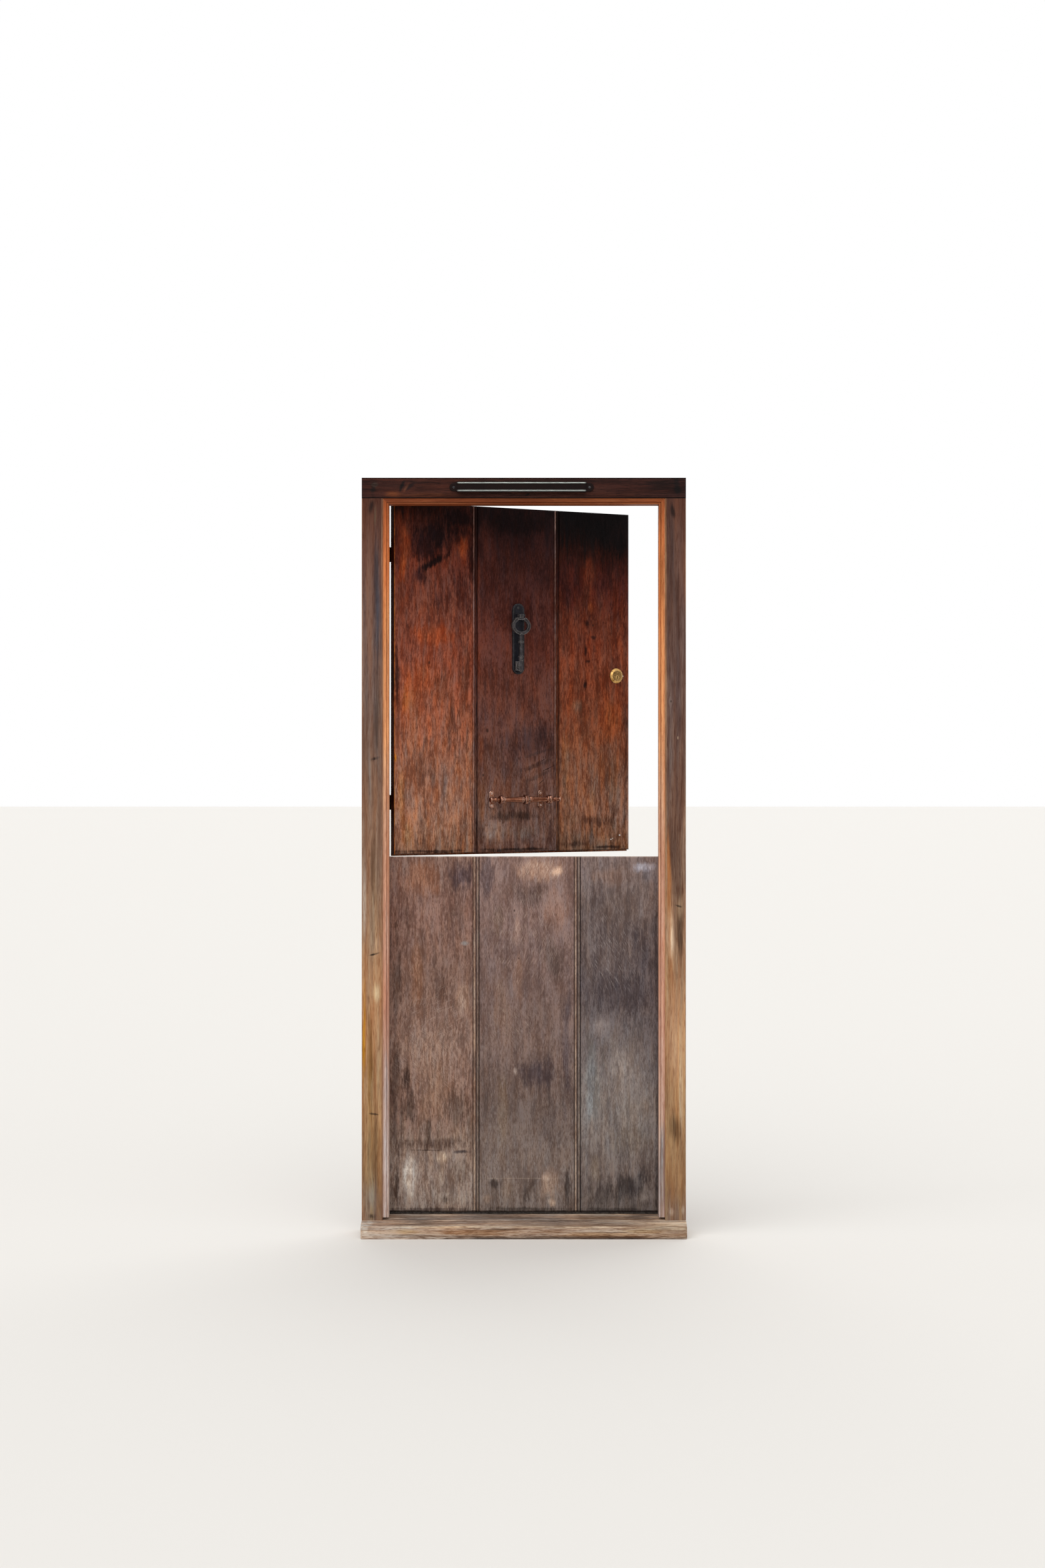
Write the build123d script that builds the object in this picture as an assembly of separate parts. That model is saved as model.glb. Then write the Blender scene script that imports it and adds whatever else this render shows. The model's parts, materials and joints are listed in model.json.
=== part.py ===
from build123d import *
import os
from math import radians, tan

# A two-leaf stable door in its frame, in millimetres.
# X runs to the right seen from outside, Y runs inward from the street, Z up.
# The origin is on the underside of the sill, at mid width and mid depth of the jambs.
# The lower leaf is shut. The upper leaf stands ajar, opened inward about its left edge.

os.makedirs("parts", exist_ok=True)

# Frame timbers
frame_w = 890.0
frame_h = 2080.0
frame_d = 95.0
jamb_t = 57.0
head_t = 56.0
frame_arris = 1.5
tenon_t = 16.0
tenon_w = 34.0
head_tenon = 38.0
foot_tenon = 20.0
fixing_r = 5.0
fixing_spacing = 700.0
fixing_mid_z = 1040.0
fixing_inset = 22.0

# Sill
sill_nose = 52.0
sill_front_h = 34.3
sill_slope = 8.0
nose_bevel = 5.0
throat_w = 7.0
throat_deep = 5.0
throat_back = 12.0
bar_t = 4.0
bar_up = 5.4
bar_deep = 20.0
bar_back = 6.0

# Stop beads planted on the jambs and head, with their seal
stop_w = 17.0
stop_recess = 3.0
stop_bead_r = 2.65
stop_quirk = 1.2
stop_round = 1.5
seal_gap = 3.7
seal_w = 9.0
seal_base = 1.4
seal_inset = 4.0
seal_clear = 0.4

# Leaves
leaf_setback = 51.0
board_t = 20.0
side_gap = 4.0
head_gap = 3.5
meeting_z = 1038.0
meet_front_gap = 5.7
meet_back_gap = 1.2
foot_front_gap = 2.0
foot_back_gap = 3.0
ajar_deg = 30.0
arris = 1.5

# Board joints: tongue and groove with a bead each side
upper_left_board = 256.0
upper_middle_board = 267.0
lower_left_board = 252.0
lower_middle_board = 280.0
joint_gap = 0.7
bead_w = 7.0
quirk_w = 1.5
tongue_t = 6.0
tongue_len = 6.5
tongue_clear = 0.2

# Ledges and braces on the room side
ledge_w = 120.0
lock_ledge_w = 120.0
ledge_bevel = 7.0
ledge_in_hinge = 14.0
ledge_in_lock = 5.0
brace_w = 92.0
brace_in = 24.0

# Strap hinges
hinge_in = 143.5
pin_r = 3.0
pin_fit = 0.05
knuckle_wall = 3.5
knuckle_gap = 0.4
strap_t = 3.2
strap_root = 42.0
strap_tip = 24.0
strap_len = 380.0
strap_end_r = 17.0
strap_screws = 4
plate_w = 43.0
plate_h = 124.0
plate_t = 3.2
plate_knuckle = 20.0
pin_head_r = 4.8
pin_head_t = 2.0

# Countersunk screws
screw_r = 2.2
screw_head_r = 4.4
screw_head_h = 2.6
screw_len = 26.0
small_screw_r = 1.6
small_screw_head_r = 3.1
small_screw_head_h = 1.8
small_screw_len = 14.0

# Trickle vent in the head
vent_x = -6.0
vent_from_top = 26.6
vent_slot_l = 328.0
vent_slot_h = 13.0
hood_l = 352.0
hood_h = 29.0
hood_wall = 2.0
hood_top_out = 10.0
hood_low_out = 12.5
hood_rim_r = 3.0
hood_lip_r = 4.0
hood_recess = 2.5
hood_lug = 21.0
hood_lug_t = 3.5
hood_lug_arris = 1.2
grille_l = 372.0
grille_h = 28.0
grille_d = 11.0
grille_wall = 2.0
grille_slots = 9
grille_pitch = 34.0
grille_slot_w = 16.0
shutter_t = 2.0
shutter_clear = 0.5
tab_w = 12.0
tab_out = 5.0

# Rim cylinder, outside
lock_up = 506.0
lock_in = 44.0
rose_r = 21.3
rose_mid_r = 19.6
rose_face_r = 15.8
rose_out = 7.0
rose_step = 2.6
barrel_r = 14.0
barrel_len = 40.0
plug_r = 6.5
plug_drop = 5.0
keyway_w = 2.2
keyway_h = 8.0
keyway_deep = 8.0
turn_fit = 0.06
tail_t = 2.0
tail_w = 6.0

# Rim latch, room side
case_w = 64.0
case_h = 90.0
case_d = 26.0
case_round = 5.0
case_edge = 4.0
latch_h = 21.0
latch_t = 12.0
latch_out = 20.0
latch_throw = 16.0
latch_bevel = 9.0
latch_clear = 0.5
latch_len = 49.0
latch_floor = 7.0
knob_r = 18.0
knob_out = 22.0
knob_spindle_r = 5.0
knob_flat = 11.0
snib_w = 9.0
snib_h = 14.0
snib_out = 4.0
snib_throw = 8.0
snib_stem = 3.6
keep_w = 26.0
keep_h = 76.0
keep_gap = 2.0

# Barrel bolts
bolt_r = 5.0
bolt_clear = 0.3
bolt_plate_t = 2.0
bolt_plate_w = 30.0
guide_len = 12.0
guide_wall = 2.6
bolt_knob_r = 5.5
bolt_knob_out = 15.0
bolt_stem_r = 2.5
side_bolt_l = 104.0
side_bolt_throw = 27.0
side_bolt_edge = 8.0
meeting_bolt_l = 72.0
meeting_bolt_throw = 18.0
meeting_bolt_in = 92.0
bolt_keep_len = 16.0

# Pull handle on the middle board
handle_up = 149.5
handle_off = -1.5
handle_posts = 160.0
handle_out = 55.0
post_plate_w = 15.0
post_plate_h = 50.0
post_plate_t = 4.0
post_screws = 34.0
post_r = 5.0
post_foot_r = 7.0
eye_r = 12.5
eye_w = 8.0
journal_r = 5.5
shaft_r = 8.5
shaft_end_r = 6.6
hub_r = 14.0
hub_w = 9.0
collar_r = 9.8
collar_w = 4.0
bead_r = 10.3
bead_w = 8.0
bead_off = 16.5
side_collar_r = 11.0
side_collar_w = 5.0
ball_r = 7.0
cap_r = 7.8
cap_w = 4.5
bar_half = 114.0

# Knocker: a key hung over a round-ended plate
knocker_up = 505.0
knocker_off = 4.8
knocker_w = 37.0
knocker_h = 201.0
knocker_t = 4.0
knocker_rim = 2.5
knocker_rim_w = 4.0
key_out = 19.0
key_top = 35.0
key_neck = 23.0
key_shaft_r = 5.0
key_shaft_low_r = 6.5
key_bow_r = 29.5
key_bow_tall = 25.0
key_bow_ring = 8.0
key_bow_t = 8.0
key_len = 160.0
key_barrel_r = 6.5
key_barrel_len = 30.0
key_collar_r = 8.5
key_collar_t = 4.0
bit_out = 11.0
bit_h = 25.0
bit_up = 17.0
bit_t = 5.0
ward_w = 3.0
ward_rim = 2.5
pivot_r = 2.5
pivot_boss_r = 5.5
pivot_boss_w = 12.0
ear_t = 4.0
ear_gap = 0.4
anvil_r = 6.0
anvil_up = 24.0
anvil_gap = 0.6

# Levels that the sizes above fix
front_y = -frame_d / 2
back_y = frame_d / 2
sill_front_y = front_y - sill_nose
leaf_y = front_y + leaf_setback
board_back_y = leaf_y + board_t
jamb_x = frame_w / 2 - jamb_t
leaf_x = jamb_x - side_gap
head_z = frame_h - head_t
rise = tan(radians(sill_slope))
bar_y = leaf_y + bar_back
sill_z = sill_front_h + (bar_y - sill_front_y) * rise
rebate = bar_back + bar_t + 0.8
lower_foot_z = sill_z + bar_up + foot_front_gap
lower_tail_z = sill_z + foot_back_gap
upper_foot_z = meeting_z + meet_front_gap
upper_tail_z = meeting_z + meet_back_gap
upper_top_z = head_z - head_gap
pin_hole_r = pin_r + pin_fit
knuckle_r = pin_hole_r + knuckle_wall
hinge_x = -(jamb_x + leaf_x) / 2
hinge_y = back_y + knuckle_r
board_mid_x = -leaf_x + upper_left_board + upper_middle_board / 2
handle_x = board_mid_x + handle_off
knocker_x = board_mid_x + knocker_off
lock_x = leaf_x - lock_in
lock_z = upper_foot_z + lock_up
handle_z = upper_foot_z + handle_up
upper_hinges = (upper_top_z - hinge_in, upper_foot_z + hinge_in)
lower_hinges = (meeting_z - hinge_in, lower_foot_z + hinge_in)

nodes = {}


# Small helpers
def block(x, y, z):
    middle = Pos((x[0] + x[1]) / 2, (y[0] + y[1]) / 2, (z[0] + z[1]) / 2)
    return middle * Box(x[1] - x[0], y[1] - y[0], z[1] - z[0])


def rect(x, y):
    return Pos((x[0] + x[1]) / 2, (y[0] + y[1]) / 2) * Rectangle(x[1] - x[0], y[1] - y[0])


def outline(*points):
    return make_face(Polyline(*points, close=True))


def slab(plane, face, depth):
    return extrude(plane * face, amount=depth, dir=plane.z_dir)


def looking_in(x, y, z):
    """Plane on a wall at y: local X right, local Y up, local Z towards the street."""
    return Plane(origin=(x, y, z), x_dir=(1, 0, 0), z_dir=(0, -1, 0))


def looking_out(x, y, z):
    """Plane on a wall at y: local X left, local Y up, local Z into the room."""
    return Plane(origin=(x, y, z), x_dir=(-1, 0, 0), z_dir=(0, 1, 0))


def along_x(x):
    """Plane across the length: local X inward (Y), local Y up (Z)."""
    return Plane(origin=(x, 0, 0), x_dir=(0, 1, 0), z_dir=(1, 0, 0))


def ajar(shape):
    """Turn a piece of the upper leaf from shut to where it stands ajar."""
    axis = Pos(hinge_x, hinge_y, 0)
    return axis * Rot(0, 0, ajar_deg) * axis.inverse() * shape


def screw(plane, shank=screw_r, head=screw_head_r, head_h=screw_head_h, length=screw_len):
    """Countersunk screw, its head flush with the plane, driven along its minus Z."""
    cone = Pos(0, 0, -head_h / 2) * Cone(shank, head, head_h)
    return plane * (cone + Pos(0, 0, -length / 2) * Cylinder(shank, length))


def small_screw(plane):
    return screw(plane, small_screw_r, small_screw_head_r, small_screw_head_h, small_screw_len)


def group(solids):
    whole = Part()
    for solid in solids:
        whole += solid
    return whole


# Sill: weathered in front of the leaf, flat under it, with a throat below the nose
def make_sill():
    profile = outline(
        (sill_front_y, 0), (back_y, 0), (back_y, sill_z), (bar_y, sill_z),
        (sill_front_y, sill_front_h))
    sill = slab(along_x(-frame_w / 2), profile, frame_w)
    throat_y = sill_front_y + throat_back
    sill -= block((-frame_w, frame_w), (throat_y, throat_y + throat_w), (-1, throat_deep))
    for side in (-1, 1):
        corner = Pos(side * frame_w / 2, sill_front_y, sill_front_h / 2)
        sill -= corner * Rot(0, 0, 45) * Box(nose_bevel, nose_bevel, 2 * sill_front_h)
        for z in (0, sill_front_h):
            end = Pos(side * frame_w / 2, (sill_front_y + front_y) / 2, z)
            sill -= end * Rot(0, 45, 0) * Box(nose_bevel / 2, 2 * sill_nose, nose_bevel / 2)
    arris_at = Pos(0, sill_front_y, sill_front_h)
    return sill - arris_at * Rot(45, 0, 0) * Box(2 * frame_w, nose_bevel / 2, nose_bevel / 2)


def make_water_bar():
    return block((-jamb_x, jamb_x), (bar_y, bar_y + bar_t), (sill_z - bar_deep, sill_z + bar_up))


# Jambs: stand on the slope of the sill, with a tenon at each end
def jamb_tenons(side):
    mid = side * (frame_w / 2 - jamb_t / 2)
    x = (mid - tenon_w / 2, mid + tenon_w / 2)
    y = (-tenon_t / 2, tenon_t / 2)
    top = block(x, y, (head_z - 1, head_z + head_tenon))
    foot_top = sill_front_h + (-tenon_t / 2 - sill_front_y) * rise
    foot = block(x, y, (foot_top - foot_tenon, foot_top + 4))
    return top, foot


def make_jamb(side, sill):
    x = sorted((side * jamb_x, side * frame_w / 2))
    top, foot = jamb_tenons(side)
    post = block(x, (front_y, back_y), (0, head_z))
    jamb = chamfer(post.edges().filter_by(Axis.Z).group_by(Axis.Y)[0], frame_arris) - sill
    jamb = jamb.solids().sort_by(Axis.Z)[-1] + top + foot
    for step in (-1, 0, 1):
        z = fixing_mid_z + step * fixing_spacing
        hole = Pos(side * frame_w / 2, back_y - fixing_inset, z) * Rot(0, 90, 0)
        jamb -= hole * Cylinder(fixing_r, 3 * jamb_t)
    return jamb


def make_head():
    head = block((-frame_w / 2, frame_w / 2), (front_y, back_y), (head_z, frame_h))
    head = chamfer(head.edges().filter_by(Axis.X).group_by(Axis.Y)[0], frame_arris)
    slot_z = frame_h - vent_from_top
    half = vent_slot_l / 2
    head -= block((vent_x - half, vent_x + half), (front_y - 1, back_y + 1),
                  (slot_z - vent_slot_h / 2, slot_z + vent_slot_h / 2))
    for side in (-1, 1):
        head -= jamb_tenons(side)[0]
    return head


# Stop beads: a broad face, a quirk and a small bead at the inner edge
def stop_planes():
    """The three corners the stops are planted from; local X away from the timber, Y inward."""
    y = front_y + stop_recess
    left = Plane(origin=(-jamb_x, y, sill_z), x_dir=(1, 0, 0), z_dir=(0, 0, 1))
    right = Plane(origin=(jamb_x, y, head_z), x_dir=(-1, 0, 0), z_dir=(0, 0, -1))
    head = Plane(origin=(-jamb_x, y, head_z), x_dir=(0, 0, -1), z_dir=(1, 0, 0))
    return left, right, head


def stop_depth():
    return leaf_setback - stop_recess - seal_gap


def stop_section():
    deep = stop_depth()
    section = rect((0, stop_w), (0, deep))
    r = stop_bead_r
    quirk = rect((stop_w - 2 * r - stop_quirk, stop_w + 1), (-1, r)) - Pos(stop_w - r, r) * Circle(r)
    corner = rect((-1, stop_round), (-1, stop_round)) - Pos(stop_round, stop_round) * Circle(stop_round)
    return section - quirk - corner


def seal_section():
    """A flat strip with a soft bulb that the leaf shuts against."""
    deep = stop_depth()
    bulb_r = seal_gap - seal_clear - seal_base / 2
    base = rect((seal_inset, seal_inset + seal_w), (deep, deep + seal_base))
    centre = Pos(seal_inset + seal_w / 2, deep + seal_base / 2)
    bulb = centre * Circle(bulb_r)
    return base + (bulb & rect((0, stop_w + seal_w), (deep, deep + seal_gap)))


def mitred(section):
    """The section run up both jambs and across the head, mitred at the two corners."""
    left_at, right_at, head_at = stop_planes()
    tall = head_z - sill_z
    left = slab(left_at, section, tall)
    right = slab(right_at, section, tall)
    top = slab(head_at, section, 2 * jamb_x)
    reach = 3 * stop_w
    street = Plane(origin=(0, front_y - 1, 0), x_dir=(1, 0, 0), z_dir=(0, -1, 0))
    for side in (-1, 1):
        x = side * jamb_x
        inner = x - side * reach
        above = outline((x, head_z), (inner, head_z - reach), (inner, head_z))
        below = outline((x, head_z), (x, head_z - reach), (inner, head_z - reach))
        cut_above = slab(street, above, -2 * frame_d)
        cut_below = slab(street, below, -2 * frame_d)
        top -= cut_below
        if side < 0:
            left -= cut_above
        else:
            right -= cut_above
    return left, right, top


# Leaves: boards with a bead each side of every joint
def bead_cut(edge, away):
    """The quirk and the hollow over the round of a bead at an edge; away points out of the board."""
    r = bead_w / 2
    x = sorted((edge + away, edge - away * (bead_w + quirk_w)))
    return rect(x, (leaf_y - 1, leaf_y + r)) - Pos(edge - away * r, leaf_y + r) * Circle(r)


def board(x0, x1, foot_z, tail_z, top_z):
    left_joint = x0 > -leaf_x
    right_joint = x1 < leaf_x
    low = x0 + (joint_gap / 2 if left_joint else 0)
    high = x1 - (joint_gap / 2 if right_joint else 0)
    mid = leaf_y + board_t / 2 + 1
    face = rect((low, high), (leaf_y, board_back_y))
    for joint, edge, away in ((left_joint, low, -1), (right_joint, high, 1)):
        if joint:
            face -= bead_cut(edge, away)
        else:
            face -= Pos(edge, leaf_y) * Rot(0, 0, 45) * Rectangle(arris, arris)
    if right_joint:
        face += rect((high - 1, x1 + tongue_len), (mid - tongue_t / 2, mid + tongue_t / 2))
    if left_joint:
        half = tongue_t / 2 + tongue_clear
        face -= rect((low - 1, x0 + tongue_len + tongue_clear), (mid - half, mid + half))
    timber = Pos(0, 0, tail_z) * extrude(face, amount=top_z - tail_z)
    rebate_y = (leaf_y - 1, leaf_y + rebate)
    timber -= block((x0 - 1, x1 + tongue_len + 1), rebate_y, (tail_z - 1, foot_z))
    for z in (foot_z, top_z):
        timber -= Pos(0, leaf_y, z) * Rot(45, 0, 0) * Box(frame_w, arris, arris)
    return timber


def leaf_boards(first, second, foot_z, tail_z, top_z):
    cuts = (-leaf_x, -leaf_x + first, -leaf_x + first + second, leaf_x)
    return [board(cuts[i], cuts[i + 1], foot_z, tail_z, top_z) for i in range(3)]


def ledge(z, width):
    """A rail across the back of the boards, bevelled along its top and bottom edges."""
    b = ledge_bevel
    half = width / 2
    section = outline(
        (board_back_y, z - half), (back_y - b, z - half), (back_y, z - half + b),
        (back_y, z + half - b), (back_y - b, z + half), (board_back_y, z + half))
    length = 2 * leaf_x - ledge_in_hinge - ledge_in_lock
    return slab(along_x(-leaf_x + ledge_in_hinge), section, length)


def brace(low_z, high_z):
    """A diagonal from the hinge side at low_z up to the lock side at high_z."""
    x0 = -leaf_x + ledge_in_hinge + brace_in
    x1 = leaf_x - ledge_in_lock - brace_in
    run = x1 - x0 - brace_w
    slant = brace_w * ((run ** 2 + (high_z - low_z) ** 2) ** 0.5) / (high_z - low_z)
    face = outline((x0, low_z), (x0 + slant, low_z), (x1, high_z), (x1 - slant, high_z))
    return slab(looking_in(0, back_y, 0), face, back_y - board_back_y)


# Strap hinges: a cross plate on the jamb, a tapered strap on the ledge, one pin
def knuckle(z0, z1):
    ring = Cylinder(knuckle_r, z1 - z0) - Cylinder(pin_hole_r, z1 - z0 + 2)
    return Pos(hinge_x, hinge_y, (z0 + z1) / 2) * ring


def strap_screw_planes(z):
    first = hinge_x + 34
    pitch = (strap_len - 34 - strap_end_r) / (strap_screws - 1)
    y = back_y + strap_t
    return [looking_out(first + i * pitch, y, z) for i in range(strap_screws)]


def hinge_strap(z, screws):
    end = strap_len - strap_end_r
    face = outline((0, -strap_root / 2), (end, -strap_tip / 2), (end, strap_tip / 2), (0, strap_root / 2))
    face += Pos(end, 0) * Circle(strap_end_r)
    strap = slab(looking_in(hinge_x, back_y, z), face, -strap_t)
    eye = block((hinge_x - 1, hinge_x + knuckle_r + 1), (back_y, back_y + strap_t),
                (z - strap_root, z + strap_root))
    strap = strap - (eye & block((hinge_x - 1, hinge_x), (0, frame_d), (0, frame_h)))
    half = strap_root / 2
    bore = Pos(hinge_x, hinge_y, z) * Cylinder(pin_hole_r, 2 * strap_root)
    return strap + knuckle(z - half, z + half) - bore - screws


def plate_screw_planes(z):
    y = back_y + plate_t
    out = hinge_x - plate_w + 11
    spots = ((out, 50), (out + 16, 32), (out + 16, -32), (out, -50))
    return [looking_out(x, y, z + dz) for x, dz in spots]


def cross_plate(z, screws):
    half = strap_root / 2 + knuckle_gap
    face = rect((-plate_w, -knuckle_r - 1), (-plate_h / 2, plate_h / 2))
    face = fillet(face.vertices().group_by(Axis.X)[0], 7)
    face += rect((-knuckle_r - 2, -1), (-half - plate_knuckle, half + plate_knuckle))
    plate = slab(looking_in(hinge_x, back_y, z), face, -plate_t)
    notch_x = (hinge_x - knuckle_r - knuckle_gap, hinge_x + 1)
    plate -= block(notch_x, (back_y - 1, back_y + 2 * knuckle_r), (z - half, z + half))
    for side in (-1, 1):
        z0, z1 = sorted((z + side * half, z + side * (half + plate_knuckle)))
        web = block((hinge_x - 2, hinge_x), (back_y, back_y + plate_t), (z0, z1))
        plate += knuckle(z0, z1) + web
    bore = Pos(hinge_x, hinge_y, z) * Cylinder(pin_hole_r, 2 * plate_h)
    return plate - bore - screws


def hinge_pin(z):
    half = strap_root / 2 + knuckle_gap + plate_knuckle
    pin = Cylinder(pin_r, 2 * half)
    for side in (-1, 1):
        pin += Pos(0, 0, side * (half + pin_head_t / 2)) * Cylinder(pin_head_r, pin_head_t)
    return Pos(hinge_x, hinge_y, z) * pin


# Trickle vent: hood outside, grille and sliding shutter inside
def vent_screw_planes(plane_at, y, half):
    z = frame_h - vent_from_top
    return [plane_at(vent_x + side * half, y, z) for side in (-1, 1)]


def make_vent_hood(screws):
    """Hood with a rounded rim above and below a long hollow, open underneath."""
    half = hood_h / 2
    top_at = (hood_rim_r - hood_top_out, half - hood_rim_r)
    low_at = (hood_lip_r - hood_low_out, hood_lip_r - half)
    face_out = hood_top_out - hood_recess
    outer = outline(
        (0, half), (top_at[0], half), (-face_out, top_at[1]), (-face_out, low_at[1] + hood_lip_r),
        (low_at[0], low_at[1] + hood_lip_r), (-hood_low_out, low_at[1]), (-hood_low_out, -half), (0, -half))
    outer += Pos(*top_at) * Circle(hood_rim_r) + Pos(*low_at) * Circle(hood_lip_r)
    inner = outline(
        (1, half - hood_wall), (hood_wall - face_out, half - hood_wall), (hood_wall - face_out, low_at[1]),
        (hood_wall - hood_low_out, low_at[1]), (hood_wall - hood_low_out, -half - 1), (1, -half - 1))
    at = Plane(origin=(vent_x - hood_l / 2, front_y, frame_h - vent_from_top), x_dir=(0, 1, 0), z_dir=(1, 0, 0))
    hood = slab(at, outer, hood_l)
    inside = Plane(origin=(vent_x - hood_l / 2 + hood_wall, front_y, frame_h - vent_from_top),
                   x_dir=(0, 1, 0), z_dir=(1, 0, 0))
    hood -= slab(inside, inner, hood_l - 2 * hood_wall)
    lug = rect((-hood_l / 2 - hood_lug / 2, -hood_l / 2 + 1), (-half + 3, half - 3))
    lug += Pos(-hood_l / 2 - hood_lug / 2, 0) * Circle(half - 3)
    for side, face in ((-1, lug), (1, mirror(lug, about=Plane.YZ))):
        plate = slab(looking_in(vent_x, front_y, frame_h - vent_from_top), face, hood_lug_t)
        hood += fillet(plate.faces().sort_by(Axis.Y)[0].edges(), hood_lug_arris)
        for (y, z), r in ((top_at, hood_rim_r), (low_at, hood_lip_r)):
            end = Pos(vent_x + side * hood_l / 2, front_y + y, frame_h - vent_from_top + z)
            hood += end * Sphere(r)
    return hood - screws


def slot_centres():
    first = -(grille_slots - 1) / 2
    return [vent_x + (first + i) * grille_pitch for i in range(grille_slots)]


def slot_cuts(shift, y, height):
    z = frame_h - vent_from_top
    cuts = []
    for x in slot_centres():
        span = (x + shift - grille_slot_w / 2, x + shift + grille_slot_w / 2)
        cuts.append(block(span, y, (z - height / 2, z + height / 2)))
    return cuts


def make_vent_grille(screws):
    z = frame_h - vent_from_top
    half = grille_l / 2
    out = back_y + grille_d
    grille = block((vent_x - half, vent_x + half), (back_y, out), (z - grille_h / 2, z + grille_h / 2))
    grille = chamfer(grille.faces().sort_by(Axis.Y)[-1].edges(), 2.5)
    room = vent_slot_l / 2 + grille_pitch / 2 - 10
    grille -= block((vent_x - room, vent_x + room), (back_y - 1, out - grille_wall),
                    (z - grille_h / 2 + grille_wall, z + grille_h / 2 - grille_wall))
    for cut in slot_cuts(0, (back_y, out + 1), vent_slot_h):
        grille -= cut
    path = tab_w + grille_pitch / 2 + 1
    tab_z = z - vent_slot_h / 2 - 4
    grille -= block((vent_x - 1, vent_x + path), (out - 2 * grille_wall, out + 1), (tab_z - 1.8, tab_z + 1.8))
    return grille - screws


def make_vent_shutter():
    """Plate behind the grille with the same slots; it slides half a pitch to close them."""
    z = frame_h - vent_from_top
    out = back_y + grille_d - grille_wall - shutter_clear
    room = vent_slot_l / 2 + grille_pitch / 2 - 10 - shutter_clear
    high = grille_h / 2 - grille_wall - shutter_clear
    shutter = block((vent_x - room, vent_x + room - grille_pitch / 2), (out - shutter_t, out), (z - high, z + high))
    for cut in slot_cuts(0, (back_y, out + 1), vent_slot_h):
        shutter -= cut
    tab_z = z - vent_slot_h / 2 - 4
    tab = block((vent_x, vent_x + tab_w), (out - 1, out + shutter_clear + grille_wall + tab_out),
                (tab_z - 1.3, tab_z + 1.3))
    return shutter + tab


# Rim cylinder
def make_rose():
    r_in = barrel_r + 0.3
    profile = outline(
        (r_in, 0), (rose_r, 0), (rose_r, rose_step), (rose_mid_r, rose_step + 0.8),
        (rose_face_r, rose_out - 0.6), (rose_face_r, rose_out), (r_in, rose_out))
    rose = revolve(Plane.XZ * profile, Axis.Z)
    return looking_in(lock_x, leaf_y, lock_z) * rose


def make_barrel():
    z0 = rose_out - 0.5
    barrel = Pos(0, 0, z0 - barrel_len / 2) * Cylinder(barrel_r, barrel_len)
    bore = Pos(0, -plug_drop, z0 - barrel_len / 2) * Cylinder(plug_r + turn_fit, barrel_len + 2)
    flange = Pos(0, 0, rose_out + 0.4) * Cylinder(rose_face_r - 1, 0.8)
    flange -= Pos(0, -plug_drop, rose_out) * Cylinder(plug_r + turn_fit, 10)
    neck = Pos(0, 0, rose_out - 0.3) * Cylinder(barrel_r, 0.7)
    neck -= Pos(0, -plug_drop, rose_out) * Cylinder(plug_r + turn_fit, 10)
    return looking_in(lock_x, leaf_y, lock_z) * (barrel - bore + neck + flange)


def make_plug():
    """Turning plug with its keyway in front and the flat tail bar behind."""
    front = rose_out + 1.2
    plug = Pos(0, 0, front - barrel_len / 2) * Cylinder(plug_r, barrel_len)
    plug -= Pos(0, 0, front) * Box(keyway_w, keyway_h, 2 * keyway_deep)
    tail_end = leaf_y - back_y - 4
    tail_start = front - barrel_len + 1
    tail = Pos(0, 0, (tail_end + tail_start) / 2) * Box(tail_t, tail_w, tail_start - tail_end)
    return looking_in(lock_x, leaf_y, lock_z - plug_drop) * (plug + tail)


def lock_bore():
    """Hole through board and ledge for the cylinder, with room behind for the tail bar."""
    at = looking_in(lock_x, leaf_y, lock_z)
    return at * Pos(0, 0, -(board_t + frame_d) / 2) * Cylinder(barrel_r + 0.8, board_t + frame_d + 2)


# Rim latch on the lock ledge
def case_x():
    right = leaf_x - case_edge
    return right - case_w, right


def latch_levels():
    mid = back_y + latch_floor + latch_t / 2
    return mid - latch_t / 2, mid + latch_t / 2


def make_latch_case():
    x0, x1 = case_x()
    y0, y1 = latch_levels()
    out = back_y + case_d
    case = block((x0, x1), (back_y, out), (lock_z - case_h / 2, lock_z + case_h / 2))
    case = fillet(case.faces().sort_by(Axis.Y)[-1].edges() + case.edges().filter_by(Axis.Y), case_round)
    c = latch_clear
    back_of_bolt = x1 + latch_out - latch_len - latch_throw - 1
    case -= block((back_of_bolt, x1 + 1), (y0 - c, y1 + c), (lock_z - latch_h / 2 - c, lock_z + latch_h / 2 + c))
    turn = looking_out(lock_x, out, lock_z - plug_drop)
    case -= turn * Cylinder(knob_spindle_r + turn_fit, 2 * (out - y1 - c - 1))
    tail = looking_out(lock_x, back_y, lock_z - plug_drop)
    case -= tail * Cylinder(tail_w / 2 + 1, 2 * (latch_floor - c - 1))
    slot_x, slot_z = snib_place()
    case -= block((slot_x - snib_stem / 2 - 0.3, slot_x + snib_stem / 2 + 0.3), (out - 3.4, out + 1),
                  (slot_z - snib_stem / 2 - 0.4, slot_z + snib_stem / 2 + snib_throw + 0.4))
    return case


def make_latch_bolt():
    """Spring bolt, bevelled on the room side so that the leaf shuts itself on the keep."""
    x1 = case_x()[1] + latch_out
    y0, y1 = latch_levels()
    bolt = block((x1 - latch_len, x1), (y0, y1), (lock_z - latch_h / 2, lock_z + latch_h / 2))
    nose = outline((x1 + 1, y0 - 1), (x1 - latch_bevel, y0 - 1), (x1 - latch_bevel, y0), (x1 + 1, y1 - 1.5))
    return bolt - Pos(0, 0, lock_z - latch_h) * extrude(nose, amount=2 * latch_h)


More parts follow.
